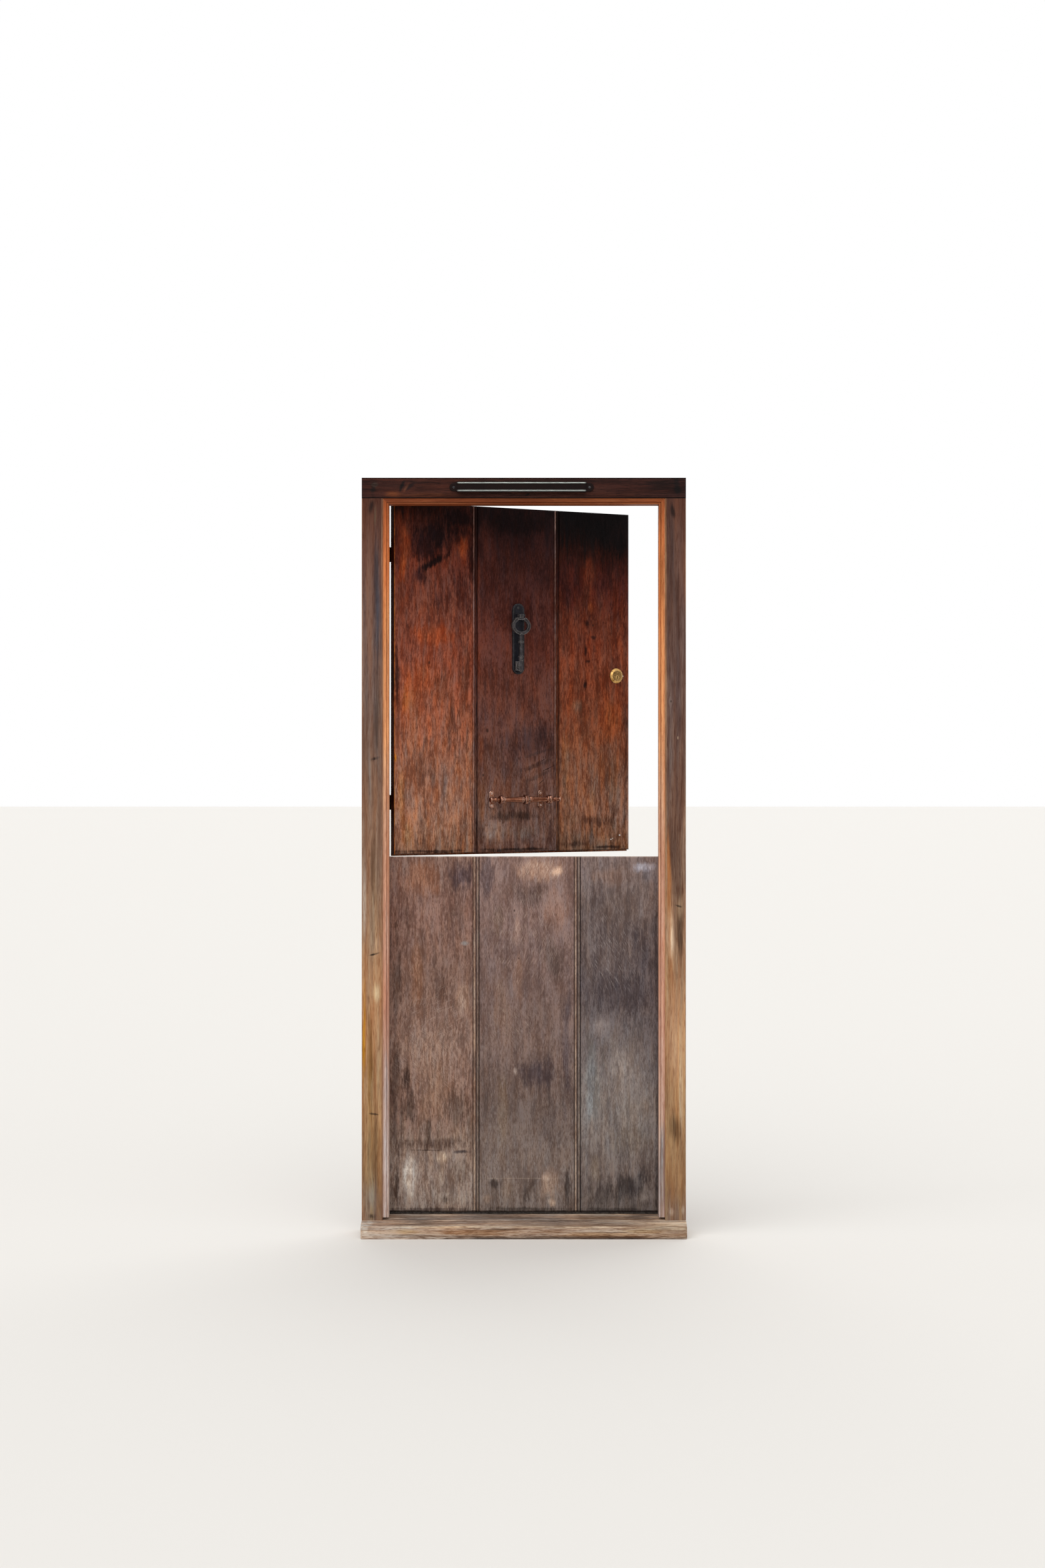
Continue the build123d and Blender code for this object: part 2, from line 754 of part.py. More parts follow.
def make_knob():
    """Turn knob: a round base with a flat-sided grip."""
    out = back_y + case_d
    spindle_deep = case_d - latch_floor - latch_t - latch_clear - 1.5
    spindle = Pos(0, 0, -spindle_deep / 2) * Cylinder(knob_spindle_r, spindle_deep)
    profile = outline(
        (0, 0.5), (knob_r * 0.72, 0.5), (knob_r * 0.72, 4), (knob_r * 0.55, 6), (knob_r * 0.8, 9),
        (knob_r, 13), (knob_r * 0.92, knob_out - 3), (knob_r * 0.7, knob_out), (0, knob_out))
    body = revolve(Plane.XZ * profile, Axis.Z)
    for side in (-1, 1):
        reach = knob_r
        cut = Pos(0, side * (knob_flat / 2 + reach / 2), (knob_out + 6.5) / 2 + 3)
        body -= cut * Box(3 * knob_r, reach, knob_out - 6.5)
    neck = Pos(0, 0, 0.4) * Cylinder(knob_spindle_r, 0.8)
    return looking_out(lock_x, out, lock_z - plug_drop) * (spindle + neck + body)


def snib_place():
    x0, x1 = case_x()
    return x0 + 14, lock_z + case_h / 2 - 12 - snib_h / 2 - snib_throw


def make_snib():
    """Small slide that holds the latch back or dead."""
    x, z = snib_place()
    out = back_y + case_d
    button = block((x - snib_w / 2, x + snib_w / 2), (out + 0.3, out + 0.3 + snib_out),
                   (z - snib_h / 2, z + snib_h / 2))
    button = chamfer(button.faces().sort_by(Axis.Y)[-1].edges(), 1.2)
    stem = block((x - snib_stem / 2, x + snib_stem / 2), (out - 3, out + 1),
                 (z - snib_stem / 2, z + snib_stem / 2))
    return button + stem


def make_latch_keep(screws):
    y0, y1 = latch_levels()
    x0 = jamb_x + keep_gap
    case = block((x0, x0 + keep_w), (back_y, back_y + case_d), (lock_z - keep_h / 2, lock_z + keep_h / 2))
    case = fillet(case.faces().sort_by(Axis.Y)[-1].edges(), case_round - 1)
    inner_x = case_x()[1] + latch_out + 1
    case -= block((x0 - 1, inner_x), (y0 - 1.5, y1 + 1.5), (lock_z - latch_h / 2 - 2, lock_z + latch_h / 2 + 2))
    return case - screws


def keep_screw_planes():
    x = jamb_x + keep_gap + keep_w / 2
    return [looking_out(x, back_y + case_d, lock_z + dz) for dz in (-keep_h / 2 + 10, keep_h / 2 - 10)]


# Barrel bolts: local X is the way the bolt shoots, local Z stands off the timber
def bolt_axis_h():
    return bolt_r + bolt_clear + guide_wall + 0.1


def arch(x0, x1):
    """A guide: a round-topped block bored for the bolt."""
    r = bolt_r + bolt_clear + guide_wall
    h = bolt_axis_h()
    shape = block((x0, x1), (-r, r), (0, h)) + Pos((x0 + x1) / 2, 0, h) * Rot(0, 90, 0) * Cylinder(r, x1 - x0)
    bore = Pos((x0 + x1) / 2, 0, h) * Rot(0, 90, 0) * Cylinder(bolt_r + bolt_clear, x1 - x0 + 2)
    return shape - bore


def bolt_body(length, throw):
    """Back plate with two guides; the origin is the end that the bolt shoots from."""
    plate = block((-length, 0), (-bolt_plate_w / 2, bolt_plate_w / 2), (0, bolt_plate_t))
    plate = fillet(plate.edges().filter_by(Axis.Z), 3)
    tail = -length + throw - 3
    return plate + arch(-guide_len - 2, -2) + arch(tail, tail + guide_len)


def bolt_screw_spots(length):
    x = (-guide_len - 9, -length + 7)
    y = bolt_plate_w / 2 - 4.5
    return [(a, b) for a in x for b in (-y, y)]


def bolt_rod(length, throw):
    """Round bolt with its knob, drawn back; it moves by throw along local X."""
    h = bolt_axis_h()
    rod = Pos(-(length + 3) / 2, 0, h) * Rot(0, 90, 0) * Cylinder(bolt_r, length - 3)
    rod = chamfer(rod.edges().sort_by(Axis.X)[-1], 1)
    knob_at = -guide_len - 2 - throw - bolt_knob_r - 1
    stem = Pos(knob_at, 0, h + bolt_knob_out / 2) * Cylinder(bolt_stem_r, bolt_knob_out)
    knob = Pos(knob_at, 0, h + bolt_knob_out) * Sphere(bolt_knob_r)
    return rod + stem + knob


def bolt_keep():
    foot = block((0, bolt_keep_len), (-bolt_plate_w / 2, bolt_plate_w / 2), (0, bolt_plate_t))
    return foot + arch(0, bolt_keep_len)


def keep_spots():
    y = bolt_plate_w / 2 - 3.6
    return [(bolt_keep_len / 2, -y), (bolt_keep_len / 2, y)]


def screws_on(plane, spots):
    up = bolt_plate_t
    return [small_screw(plane * Pos(x, y, up)) for x, y in spots]


def side_bolt_plane():
    z = lower_hinges[0]
    return Plane(origin=(leaf_x - side_bolt_edge, back_y, z), x_dir=(1, 0, 0), z_dir=(0, 1, 0))


def side_keep_plane():
    z = lower_hinges[0]
    return Plane(origin=(jamb_x + keep_gap, back_y, z), x_dir=(1, 0, 0), z_dir=(0, 1, 0))


def meeting_bolt_plane():
    x = leaf_x - meeting_bolt_in
    return Plane(origin=(x, board_back_y, upper_foot_z), x_dir=(0, 0, -1), z_dir=(0, 1, 0))


def meeting_keep_plane():
    x = leaf_x - meeting_bolt_in
    return Plane(origin=(x, board_back_y, meeting_z - 1), x_dir=(0, 0, -1), z_dir=(0, 1, 0))


# Pull handle: a turned bar through two cast posts
def post_planes():
    half = handle_posts / 2
    return [looking_in(handle_x + side * half, leaf_y, handle_z) for side in (-1, 1)]


def post_screws_at(plane):
    planes = [plane * Pos(0, side * post_screws / 2, post_plate_t) for side in (-1, 1)]
    return [small_screw(p) for p in planes]


def handle_post(plane, screws):
    plate = Rectangle(post_plate_w, post_plate_h - post_plate_w)
    for side in (-1, 1):
        plate += Pos(0, side * (post_plate_h - post_plate_w) / 2) * Circle(post_plate_w / 2)
    post = extrude(plate, amount=post_plate_t)
    post = chamfer(post.faces().sort_by(Axis.Z)[-1].edges(), 1)
    stem_len = handle_out - eye_r + 2 - post_plate_t
    stem = Cone(post_foot_r, post_r, stem_len)
    post += Pos(0, 0, post_plate_t + stem_len / 2) * stem
    eye = Rot(0, 90, 0) * Cylinder(eye_r, eye_w)
    eye = chamfer(eye.edges(), 1.8)
    post += Pos(0, 0, handle_out) * eye
    post -= Pos(0, 0, handle_out) * Rot(0, 90, 0) * Cylinder(journal_r, 3 * eye_w)
    return plane * post - screws


def half_bar_profile():
    """Half of the turned bar from its middle to its cap, as radius against distance."""
    post = handle_posts / 2
    collar = hub_w / 2 + 4
    side_collar = post - eye_w / 2 - 1
    cap = bar_half - cap_w
    return [
        (0, hub_r), (hub_w / 2 - 1.5, hub_r), (hub_w / 2, hub_r - 2), (hub_w / 2, shaft_r),
        (collar, shaft_r), (collar + 0.5, collar_r), (collar + collar_w, collar_r),
        (collar + collar_w + 0.5, shaft_r), (side_collar - side_collar_w - 2, shaft_end_r),
        (side_collar - side_collar_w, side_collar_r - 1), (side_collar - side_collar_w + 1, side_collar_r),
        (side_collar - 1, side_collar_r), (side_collar, side_collar_r - 1), (side_collar, journal_r),
        (cap, journal_r), (cap, cap_r - 1), (cap + 1, cap_r), (bar_half - 1.5, cap_r), (bar_half, cap_r - 1.5)]


def make_handle_bar():
    """Turned the same both ways from the hub, but for one more bead on the right."""
    ball_at = (handle_posts + eye_w) / 4 + (bar_half - cap_w) / 2
    half = revolve(outline(*half_bar_profile(), (bar_half, 0), (0, 0)), Axis.X)
    half += Pos(ball_at, 0, 0) * Sphere(ball_r)
    bead = Rot(0, 90, 0) * Cylinder(bead_r, bead_w)
    bead = fillet(bead.edges().filter_by(GeomType.CIRCLE), bead_w / 2 - 1)
    whole = half + mirror(half, about=Plane.YZ) + Pos(bead_off, 0, 0) * bead
    return Pos(handle_x, leaf_y - handle_out, handle_z) * whole


# Knocker: plate with a raised rim and two ears, a key for a striker, a pin
def knocker_plane():
    """At the knocker's foot on the board: local X right, local Y up, local Z to the street."""
    return looking_in(knocker_x, leaf_y, upper_foot_z + knocker_up)


def slot_face(width, height, low):
    r = width / 2
    face = rect((-r, r), (low + r, low + height - r))
    return face + Pos(0, low + r) * Circle(r) + Pos(0, low + height - r) * Circle(r)


def pivot_y():
    return knocker_h - key_top


def make_knocker_plate(screws):
    plate = extrude(slot_face(knocker_w, knocker_h, 0), amount=knocker_t)
    inner = slot_face(knocker_w - 2 * knocker_rim_w, knocker_h - 2 * knocker_rim_w, knocker_rim_w)
    rim = slot_face(knocker_w, knocker_h, 0) - inner
    rim_solid = Pos(0, 0, knocker_t) * extrude(rim, amount=knocker_rim)
    plate += chamfer(rim_solid.faces().sort_by(Axis.Z)[-1].edges(), 1)
    for side in (-1, 1):
        x = side * (pivot_boss_w / 2 + ear_gap + ear_t / 2)
        ear = Pos(x, pivot_y(), key_out / 2) * Box(ear_t, 2 * pivot_boss_r, key_out)
        ear += Pos(x, pivot_y(), key_out) * Rot(0, 90, 0) * Cylinder(pivot_boss_r, ear_t)
        plate += ear
    plate -= Pos(0, pivot_y(), key_out) * Rot(0, 90, 0) * Cylinder(pivot_r, 3 * pivot_boss_w)
    anvil = key_out - key_barrel_r - anvil_gap
    plate += Pos(0, pivot_y() - key_len + anvil_up, anvil / 2) * Cylinder(anvil_r, anvil)
    return knocker_plane() * plate - screws


def make_knocker_pin():
    length = pivot_boss_w + 2 * ear_gap + 2 * ear_t
    pin = Rot(0, 90, 0) * Cylinder(pivot_r, length)
    return knocker_plane() * Pos(0, pivot_y(), key_out) * pin


def key_bit():
    """Flat bit beside the barrel, with a cross-shaped ward cut."""
    width = key_barrel_r + bit_out
    cross = Box(bit_out - 2 * ward_rim, ward_w, 2 * bit_t) + Box(ward_w, bit_h - 2 * ward_rim, 2 * bit_t)
    bit = Pos(-width / 2, 0, 0) * Box(width, bit_h, bit_t)
    return bit - Pos(-key_barrel_r - bit_out / 2, 0, 0) * cross


def key_stem(length):
    """Turned stem from the bow to the tip: collar, flared shaft, two collars and the barrel."""
    collar = -key_neck - key_collar_t
    barrel = key_barrel_len - length
    profile = [(0, 0), (key_shaft_r, 0), (key_shaft_r, 1 - key_neck), (key_collar_r, -key_neck),
               (key_collar_r, collar), (key_shaft_r, collar - 1), (key_shaft_low_r, barrel + 17),
               (key_collar_r - 0.5, barrel + 15), (key_collar_r - 0.5, barrel + 12),
               (key_shaft_low_r - 1, barrel + 11), (key_shaft_low_r - 1, barrel + 8),
               (key_collar_r - 1, barrel + 7), (key_collar_r - 1, barrel + 3), (key_barrel_r, barrel + 2),
               (key_barrel_r, 2 - length), (key_barrel_r - 2, -length), (0, -length)]
    return revolve(outline(*profile), Axis.Y)


def make_knocker_key():
    """Hung by its bow: ring, stem and bit, made in its own hanging frame."""
    boss = Rot(0, 90, 0) * Cylinder(pivot_boss_r, pivot_boss_w)
    boss += Pos(0, -pivot_boss_r, 0) * Box(pivot_boss_w, 2 * pivot_boss_r, key_bow_t - 1)
    centre = -key_bow_tall - 4
    ring = Ellipse(key_bow_r, key_bow_tall) - Ellipse(key_bow_r - key_bow_ring, key_bow_tall - key_bow_ring)
    ring -= Rectangle(pivot_boss_w + 2 * (ear_t + 2 * ear_gap), 4 * key_bow_tall) & rect(
        (-key_bow_r, key_bow_r), (key_bow_tall - key_bow_ring - 4, key_bow_tall + 8))
    bow = Pos(0, centre, -key_bow_t / 2) * extrude(ring, amount=key_bow_t)
    yoke = Pos(0, -pivot_boss_r - 4, 0) * Box(2 * key_bow_r - 24, 5, key_bow_t - 1)
    shaft_top = centre - key_bow_tall + key_bow_ring / 2
    key = boss + bow + yoke + Pos(0, shaft_top, 0) * key_stem(key_len + shaft_top)
    key += Pos(0, bit_up - key_len, 0) * key_bit()
    key -= Rot(0, 90, 0) * Cylinder(pivot_r + turn_fit, 3 * pivot_boss_w)
    return knocker_plane() * Pos(0, pivot_y(), key_out) * key


def knocker_screws():
    plane = knocker_plane()
    return [small_screw(plane * Pos(0, y, knocker_t)) for y in (12, knocker_h - 12)]


# Frame nodes
sill = make_sill()
water_bar = make_water_bar()
plate_screws = {z: [screw(p) for p in plate_screw_planes(z)] for z in upper_hinges + lower_hinges}
hood_screws = [small_screw(p) for p in vent_screw_planes(looking_in, front_y - hood_lug_t, hood_l / 2 + hood_lug / 2)]
grille_screws = [small_screw(p) for p in vent_screw_planes(looking_out, back_y + grille_d, grille_l / 2 - 6)]
latch_keep_screws = [screw(p, length=case_d + 18) for p in keep_screw_planes()]
side_keep_screws = screws_on(side_keep_plane(), keep_spots())
all_plate_screws = [s for screws in plate_screws.values() for s in screws]
frame_screws = all_plate_screws + hood_screws + grille_screws + latch_keep_screws + side_keep_screws

jamb_left = make_jamb(-1, sill)
jamb_right = make_jamb(1, sill)
for side in (-1, 1):
    sill -= jamb_tenons(side)[1]
nodes["sill"] = sill - water_bar
nodes["jamb_left"] = jamb_left - all_plate_screws
nodes["jamb_right"] = jamb_right - latch_keep_screws - side_keep_screws
nodes["head"] = make_head() - hood_screws - grille_screws
stops = mitred(stop_section())
nodes["stop_bead_left"] = stops[0]
nodes["stop_bead_right"] = stops[1]
nodes["stop_bead_head"] = stops[2]
nodes["weather_seal"] = group(mitred(seal_section()))
nodes["water_bar"] = water_bar
plate_names = ("upper_hinge_plate_top", "upper_hinge_plate_low", "lower_hinge_plate_top", "lower_hinge_plate_low")
for name, z in zip(plate_names, upper_hinges + lower_hinges):
    nodes[name] = cross_plate(z, plate_screws[z])
nodes["hinge_pins"] = group([hinge_pin(z) for z in upper_hinges + lower_hinges])
nodes["vent_hood"] = make_vent_hood(hood_screws)
nodes["vent_grille"] = make_vent_grille(grille_screws)
nodes["vent_shutter"] = make_vent_shutter()
nodes["latch_keep"] = make_latch_keep(latch_keep_screws)
nodes["side_bolt_keep"] = side_keep_plane() * bolt_keep() - side_keep_screws
nodes["frame_screws"] = group(frame_screws)

# Lower leaf nodes
lower_strap_screws = {z: [screw(p) for p in strap_screw_planes(z)] for z in lower_hinges}
side_bolt_screws = screws_on(side_bolt_plane(), bolt_screw_spots(side_bolt_l))
meeting_keep_screws = screws_on(meeting_keep_plane(), keep_spots())
lower_screws = [s for screws in lower_strap_screws.values() for s in screws] + side_bolt_screws + meeting_keep_screws
lower = leaf_boards(lower_left_board, lower_middle_board, lower_foot_z, lower_tail_z, meeting_z)
for place, timber in zip(("left", "middle", "right"), lower):
    nodes["lower_board_" + place] = timber - lower_screws
for place, z in zip(("top", "low"), lower_hinges):
    nodes["lower_ledge_" + place] = ledge(z, ledge_w) - lower_screws
    nodes["lower_strap_" + place] = hinge_strap(z, lower_strap_screws[z])
nodes["lower_brace"] = brace(lower_hinges[1] + ledge_w / 2, lower_hinges[0] - ledge_w / 2)
nodes["side_bolt_body"] = side_bolt_plane() * bolt_body(side_bolt_l, side_bolt_throw) - side_bolt_screws
nodes["side_bolt"] = side_bolt_plane() * bolt_rod(side_bolt_l, side_bolt_throw)
nodes["meeting_bolt_keep"] = meeting_keep_plane() * bolt_keep() - meeting_keep_screws
nodes["lower_screws"] = group(lower_screws)

# Upper leaf nodes, made shut and then turned to stand ajar
upper_strap_screws = {z: [screw(p) for p in strap_screw_planes(z)] for z in upper_hinges}
meeting_bolt_screws = screws_on(meeting_bolt_plane(), bolt_screw_spots(meeting_bolt_l))
handle_screws = [s for p in post_planes() for s in post_screws_at(p)]
upper_screws = [s for screws in upper_strap_screws.values() for s in screws] + meeting_bolt_screws
front_screws = handle_screws + knocker_screws()
cylinder_hole = lock_bore()
upper = leaf_boards(upper_left_board, upper_middle_board, upper_foot_z, upper_tail_z, upper_top_z)
shut = {}
for place, timber in zip(("left", "middle", "right"), upper):
    shut["upper_board_" + place] = timber - upper_screws - front_screws - cylinder_hole
for place, z in zip(("top", "low"), upper_hinges):
    shut["upper_ledge_" + place] = ledge(z, ledge_w) - upper_screws
    shut["upper_strap_" + place] = hinge_strap(z, upper_strap_screws[z])
shut["upper_ledge_lock"] = ledge(lock_z, lock_ledge_w) - cylinder_hole
shut["upper_brace_low"] = brace(upper_hinges[1] + ledge_w / 2, lock_z - lock_ledge_w / 2)
shut["upper_brace_top"] = brace(lock_z + lock_ledge_w / 2, upper_hinges[0] - ledge_w / 2)
for name, plane in zip(("handle_post_left", "handle_post_right"), post_planes()):
    shut[name] = handle_post(plane, handle_screws)
shut["handle_bar"] = make_handle_bar()
shut["knocker_plate"] = make_knocker_plate(knocker_screws())
shut["knocker_pin"] = make_knocker_pin()
shut["knocker_key"] = make_knocker_key()
shut["cylinder_rose"] = make_rose()
shut["cylinder_body"] = make_barrel()
shut["cylinder_plug"] = make_plug()
shut["latch_case"] = make_latch_case()
shut["latch_bolt"] = make_latch_bolt()
shut["latch_knob"] = make_knob()
shut["latch_snib"] = make_snib()
shut["meeting_bolt_body"] = meeting_bolt_plane() * bolt_body(meeting_bolt_l, meeting_bolt_throw) - meeting_bolt_screws
shut["meeting_bolt"] = meeting_bolt_plane() * bolt_rod(meeting_bolt_l, meeting_bolt_throw)
shut["upper_screws"] = group(upper_screws)
shut["front_screws"] = group(front_screws)
for name, shape in shut.items():
    nodes[name] = ajar(shape)

for name, shape in nodes.items():
    export_step(shape, f"parts/{name}.step")
print(len(nodes), "nodes")
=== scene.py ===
import json
from math import pi, radians

import bmesh
import bpy
from mathutils import Matrix, Vector


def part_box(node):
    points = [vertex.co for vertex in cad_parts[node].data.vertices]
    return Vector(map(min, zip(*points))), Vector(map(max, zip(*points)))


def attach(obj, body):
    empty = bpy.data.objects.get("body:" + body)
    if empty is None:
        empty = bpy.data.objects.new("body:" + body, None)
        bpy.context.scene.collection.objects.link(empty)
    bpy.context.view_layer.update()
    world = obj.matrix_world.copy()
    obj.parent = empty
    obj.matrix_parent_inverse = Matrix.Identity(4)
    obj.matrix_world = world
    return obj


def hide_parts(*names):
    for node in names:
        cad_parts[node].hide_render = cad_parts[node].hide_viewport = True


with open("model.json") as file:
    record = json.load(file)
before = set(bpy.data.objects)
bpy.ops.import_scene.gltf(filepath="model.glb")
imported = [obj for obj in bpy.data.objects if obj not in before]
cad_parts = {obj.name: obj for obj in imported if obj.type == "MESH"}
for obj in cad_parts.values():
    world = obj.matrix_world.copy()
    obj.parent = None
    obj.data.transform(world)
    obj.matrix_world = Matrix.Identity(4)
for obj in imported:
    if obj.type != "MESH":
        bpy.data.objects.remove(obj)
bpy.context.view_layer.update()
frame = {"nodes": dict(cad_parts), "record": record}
nodes = frame["nodes"]
mm = 0.001


# Head of the frame: one stained softwood timber, planed, laid across the jambs.
# It is nearly black, partly a dark stain and partly painted shade of the eaves, with two big
# knots over the joints and redder heartwood along its lower edge.
def linear(code):
    """A hex colour as the linear numbers that Blender works in."""
    parts = [int(code[i:i + 2], 16) / 255 for i in (1, 3, 5)]
    return tuple(c / 12.92 if c <= 0.04045 else ((c + 0.055) / 1.055) ** 2.4
                 for c in parts) + (1.0,)


mix_a, mix_b = 6, 7  # the colour sockets of a Mix node, which share their names with others
colours = {"out": 2, "data_type": "RGBA"}  # what makes a Mix node mix colours


def add(tree, kind, inputs=None, out=0, stops=None, **settings):
    """Adds one shader node with its settings and links, and gives back one of its outputs.

    Sockets go by name, or by number in the sums, where all of them have one name.
    """
    made = tree.nodes.new("ShaderNode" + kind)
    for key, value in settings.items():
        setattr(made, key, value)
    for key, value in (inputs or {}).items():
        if isinstance(value, bpy.types.NodeSocket):
            tree.links.new(value, made.inputs[key])
        else:
            made.inputs[key].default_value = value
    if stops:
        ramp = made.color_ramp
        ramp.elements[0].position, ramp.elements[0].color = stops[0]
        ramp.elements[1].position, ramp.elements[1].color = stops[-1]
        for place, colour in stops[1:-1]:
            ramp.elements.new(place).color = colour
    return made.outputs[out] if made.outputs else made


def blank(name):
    material = bpy.data.materials.new(name)
    material.use_nodes = True
    material.node_tree.nodes.clear()
    return material, material.node_tree


def paint(node, material):
    for slot in nodes[node].material_slots:
        slot.material = material


def lay(tree, colour, code, field, ends, amounts, curve="LINEAR"):
    """Lays a colour over another, from one amount to the other between the ends of a field."""
    mask = add(tree, "MapRange", {"Value": field, "From Min": ends[0], "From Max": ends[1],
                                  "To Min": amounts[0], "To Max": amounts[1]},
               interpolation_type=curve)
    return add(tree, "Mix", {"Factor": mask, mix_a: colour, mix_b: linear(code)}, **colours)


def oval(tree, here, x, z, wide, tall, lean=0, drift=None):
    """How far a point of a board is from a spot: 0 at its middle, 1 at its rim."""
    off = add(tree, "Mapping", {"Vector": here, "Location": (x * mm, 0, z * mm),
                                "Rotation": (0, radians(lean), 0),
                                "Scale": (wide * mm, 1000, tall * mm)}, vector_type="TEXTURE")
    if drift is not None:
        off = add(tree, "VectorMath", {0: off, 1: drift}, operation="ADD")
    return add(tree, "VectorMath", {0: off}, out="Value", operation="LENGTH")


def from_line(tree, here, axis, place):
    """How far a point is from a line at a place in millimetres, in metres."""
    off = add(tree, "SeparateXYZ", {"Vector": here}, out=axis)
    off = add(tree, "Math", {0: off, 1: -place * mm}, operation="ADD")
    return add(tree, "Math", {0: off}, operation="ABSOLUTE")


centred = (0.5, 0.5, 0.5)  # taken from a noise of 0 to 1, so that it lies either side of 0


def grain_of(tree, here, sway, shift, knots, coarse, long):
    """The line of the grain, bent round each knot, its noises, and how far each knot is."""
    flow = add(tree, "VectorMath", {0: sway, 1: (12 * mm, 0, 0), 2: here},
               operation="MULTIPLY_ADD")
    rings = []
    for x, z, size in knots:
        off = add(tree, "VectorMath", {0: here, 1: (x * mm, 0, z * mm)}, operation="SUBTRACT")
        flat = add(tree, "VectorMath", {0: off, 1: (1, 0, 1)}, operation="MULTIPLY")
        near = add(tree, "VectorMath", {0: off, 1: (1000 / size, 0, 620 / size)},
                   operation="MULTIPLY")
        away = add(tree, "VectorMath", {0: near}, out="Value", operation="LENGTH")
        pull = add(tree, "MapRange", {"Value": away, "From Min": 0.6, "From Max": 4.0,
                                      "To Min": -0.66, "To Max": 0.0},
                   interpolation_type="SMOOTHSTEP")
        bent = add(tree, "VectorMath", {0: flat, "Scale": pull}, operation="SCALE")
        flow = add(tree, "VectorMath", {0: flow, 1: bent}, operation="ADD")
        rings.append(away)
    flow = add(tree, "VectorMath", {0: flow, 1: shift}, operation="ADD")
    # Streaks to a metre across and along the grain. Real pores are 0.3 mm wide and too fine
    # to show, so they are drawn 1.25 mm wide. Fine streaks are 3 mm, growth bands 12 mm and
    # tints 13 mm wide, clouds of dirt 33 mm and broad shades of colour 60 mm.
    grain = {}
    for key, wide, tall, detail in (
            ("pore", 800, 120, 2.0), ("fine", 340, 60, 3.0), ("mid", 80, 8.0, 4.0),
            ("tint", 75, 15, 2.0), ("cloud", 30, 12, 3.0), ("broad", 16, 5.0, 2.0)):
        run = add(tree, "Mapping", {"Vector": flow, "Scale": (
            wide / coarse, wide / coarse, tall / coarse / long)})
        grain[key] = add(tree, "TexNoise", {"Vector": run, "Scale": 1.0, "Detail": detail,
                                            "Roughness": 0.6})
    return flow, grain, rings


def years_of(tree, flow, fine, shift, pith):
    """Growth rings round the pith of the tree, which waver by 3 mm.

    Real ones are about 3 mm apart. They are drawn 7.4 mm apart, so that they show.
    """
    rings_to_metre = 135.0
    heart = add(tree, "Mapping", {
        "Vector": flow, "Rotation": (radians(pith[2]), 0, 0),
        "Location": (-pith[0] * mm - shift[0], -pith[1] * mm - shift[1], 0)})
    heart = add(tree, "VectorMath", {0: heart, 1: (1, 1, 0)}, operation="MULTIPLY")
    year = add(tree, "VectorMath", {0: heart}, out="Value", operation="LENGTH")
    year = add(tree, "Math", {0: fine, 1: 3 * mm, 2: year}, operation="MULTIPLY_ADD")
    year = add(tree, "Math", {0: year, 1: rings_to_metre * pi}, operation="MULTIPLY")
    year = add(tree, "Math", {0: year}, operation="SINE")
    return add(tree, "Math", {0: year, 1: year}, operation="MULTIPLY")


def stained(tree, here, colour, sway, grain, patches, strips):
    """Lays the patches and the strips on a colour, with edges that follow the grain."""
    # Two noises push a whole patch about, and two finer ones fray its rim along the grain.
    drift = add(tree, "VectorMath", {0: sway, 1: (1.2, 0, 1.2)}, operation="MULTIPLY")
    wander = add(tree, "VectorMath", {0: grain["cloud"].node.outputs["Color"], 1: centred},
                 operation="SUBTRACT")
    drift = add(tree, "VectorMath", {0: wander, 1: (1.8, 0, 1.8), 2: drift},
                operation="MULTIPLY_ADD")
    ragged = add(tree, "Math", {0: grain["mid"], 1: 1.5, 2: -0.75}, operation="MULTIPLY_ADD")
    ragged = add(tree, "Math", {0: grain["fine"], 1: 0.9, 2: ragged}, operation="MULTIPLY_ADD")
    ragged = add(tree, "Math", {0: ragged, 1: 0.45}, operation="SUBTRACT")
    for x, z, wide, tall, code, amount, *lean in patches:
        away = oval(tree, here, x, z, wide, tall, sum(lean), drift)
        away = add(tree, "Math", {0: away, 1: ragged}, operation="ADD")
        colour = lay(tree, colour, code, away, (0.3, 1.3), (amount, 0.0), "SMOOTHSTEP")
    for way, place, wide, code, amount in strips:
        worn = add(tree, "MapRange", {"Value": grain["cloud"], "From Min": 0.3, "From Max": 0.65,
                                      "To Min": amount * 0.5, "To Max": amount * 1.25})
        off = from_line(tree, here, way, place)
        colour = lay(tree, colour, code, off, (wide * mm * 0.6, wide * mm * 1.2), (worn, 0.0))
    return colour


def scuffed(tree, here, colour, fine, rings, scuffs, specks):
    """Lays scratches 1.5 mm wide, the dark hearts of knots and pale specks over a colour."""
    for turn, strength, code, x, z, wide, tall in scuffs:
        lean = add(tree, "Mapping", {"Vector": here, "Rotation": (0, radians(turn), 0),
                                     "Scale": (1.5 * mm, 1.0, 34 * mm)}, vector_type="TEXTURE")
        mark = add(tree, "TexNoise", {"Vector": lean, "Scale": 1.0, "Detail": 1.0})
        reach = add(tree, "MapRange", {"Value": oval(tree, here, x, z, wide, tall),
                                       "From Min": 0.3, "From Max": 1.2,
                                       "To Min": strength, "To Max": 0.0},
                    interpolation_type="SMOOTHSTEP")
        colour = lay(tree, colour, code, mark, (0.62, 0.72), (0.0, reach))
    for away in rings:
        eye = add(tree, "Math", {0: fine, 1: 0.5, 2: away}, operation="MULTIPLY_ADD")
        colour = lay(tree, colour, "#221612", eye, (0.6, 1.3), (0.75, 0.0), "SMOOTHSTEP")
    for x, z, size in specks:
        away = oval(tree, here, x, z, size, size)
        colour = lay(tree, colour, "#d8d2cc", away, (0.8, 1.1), (0.9, 0.0))
    return colour


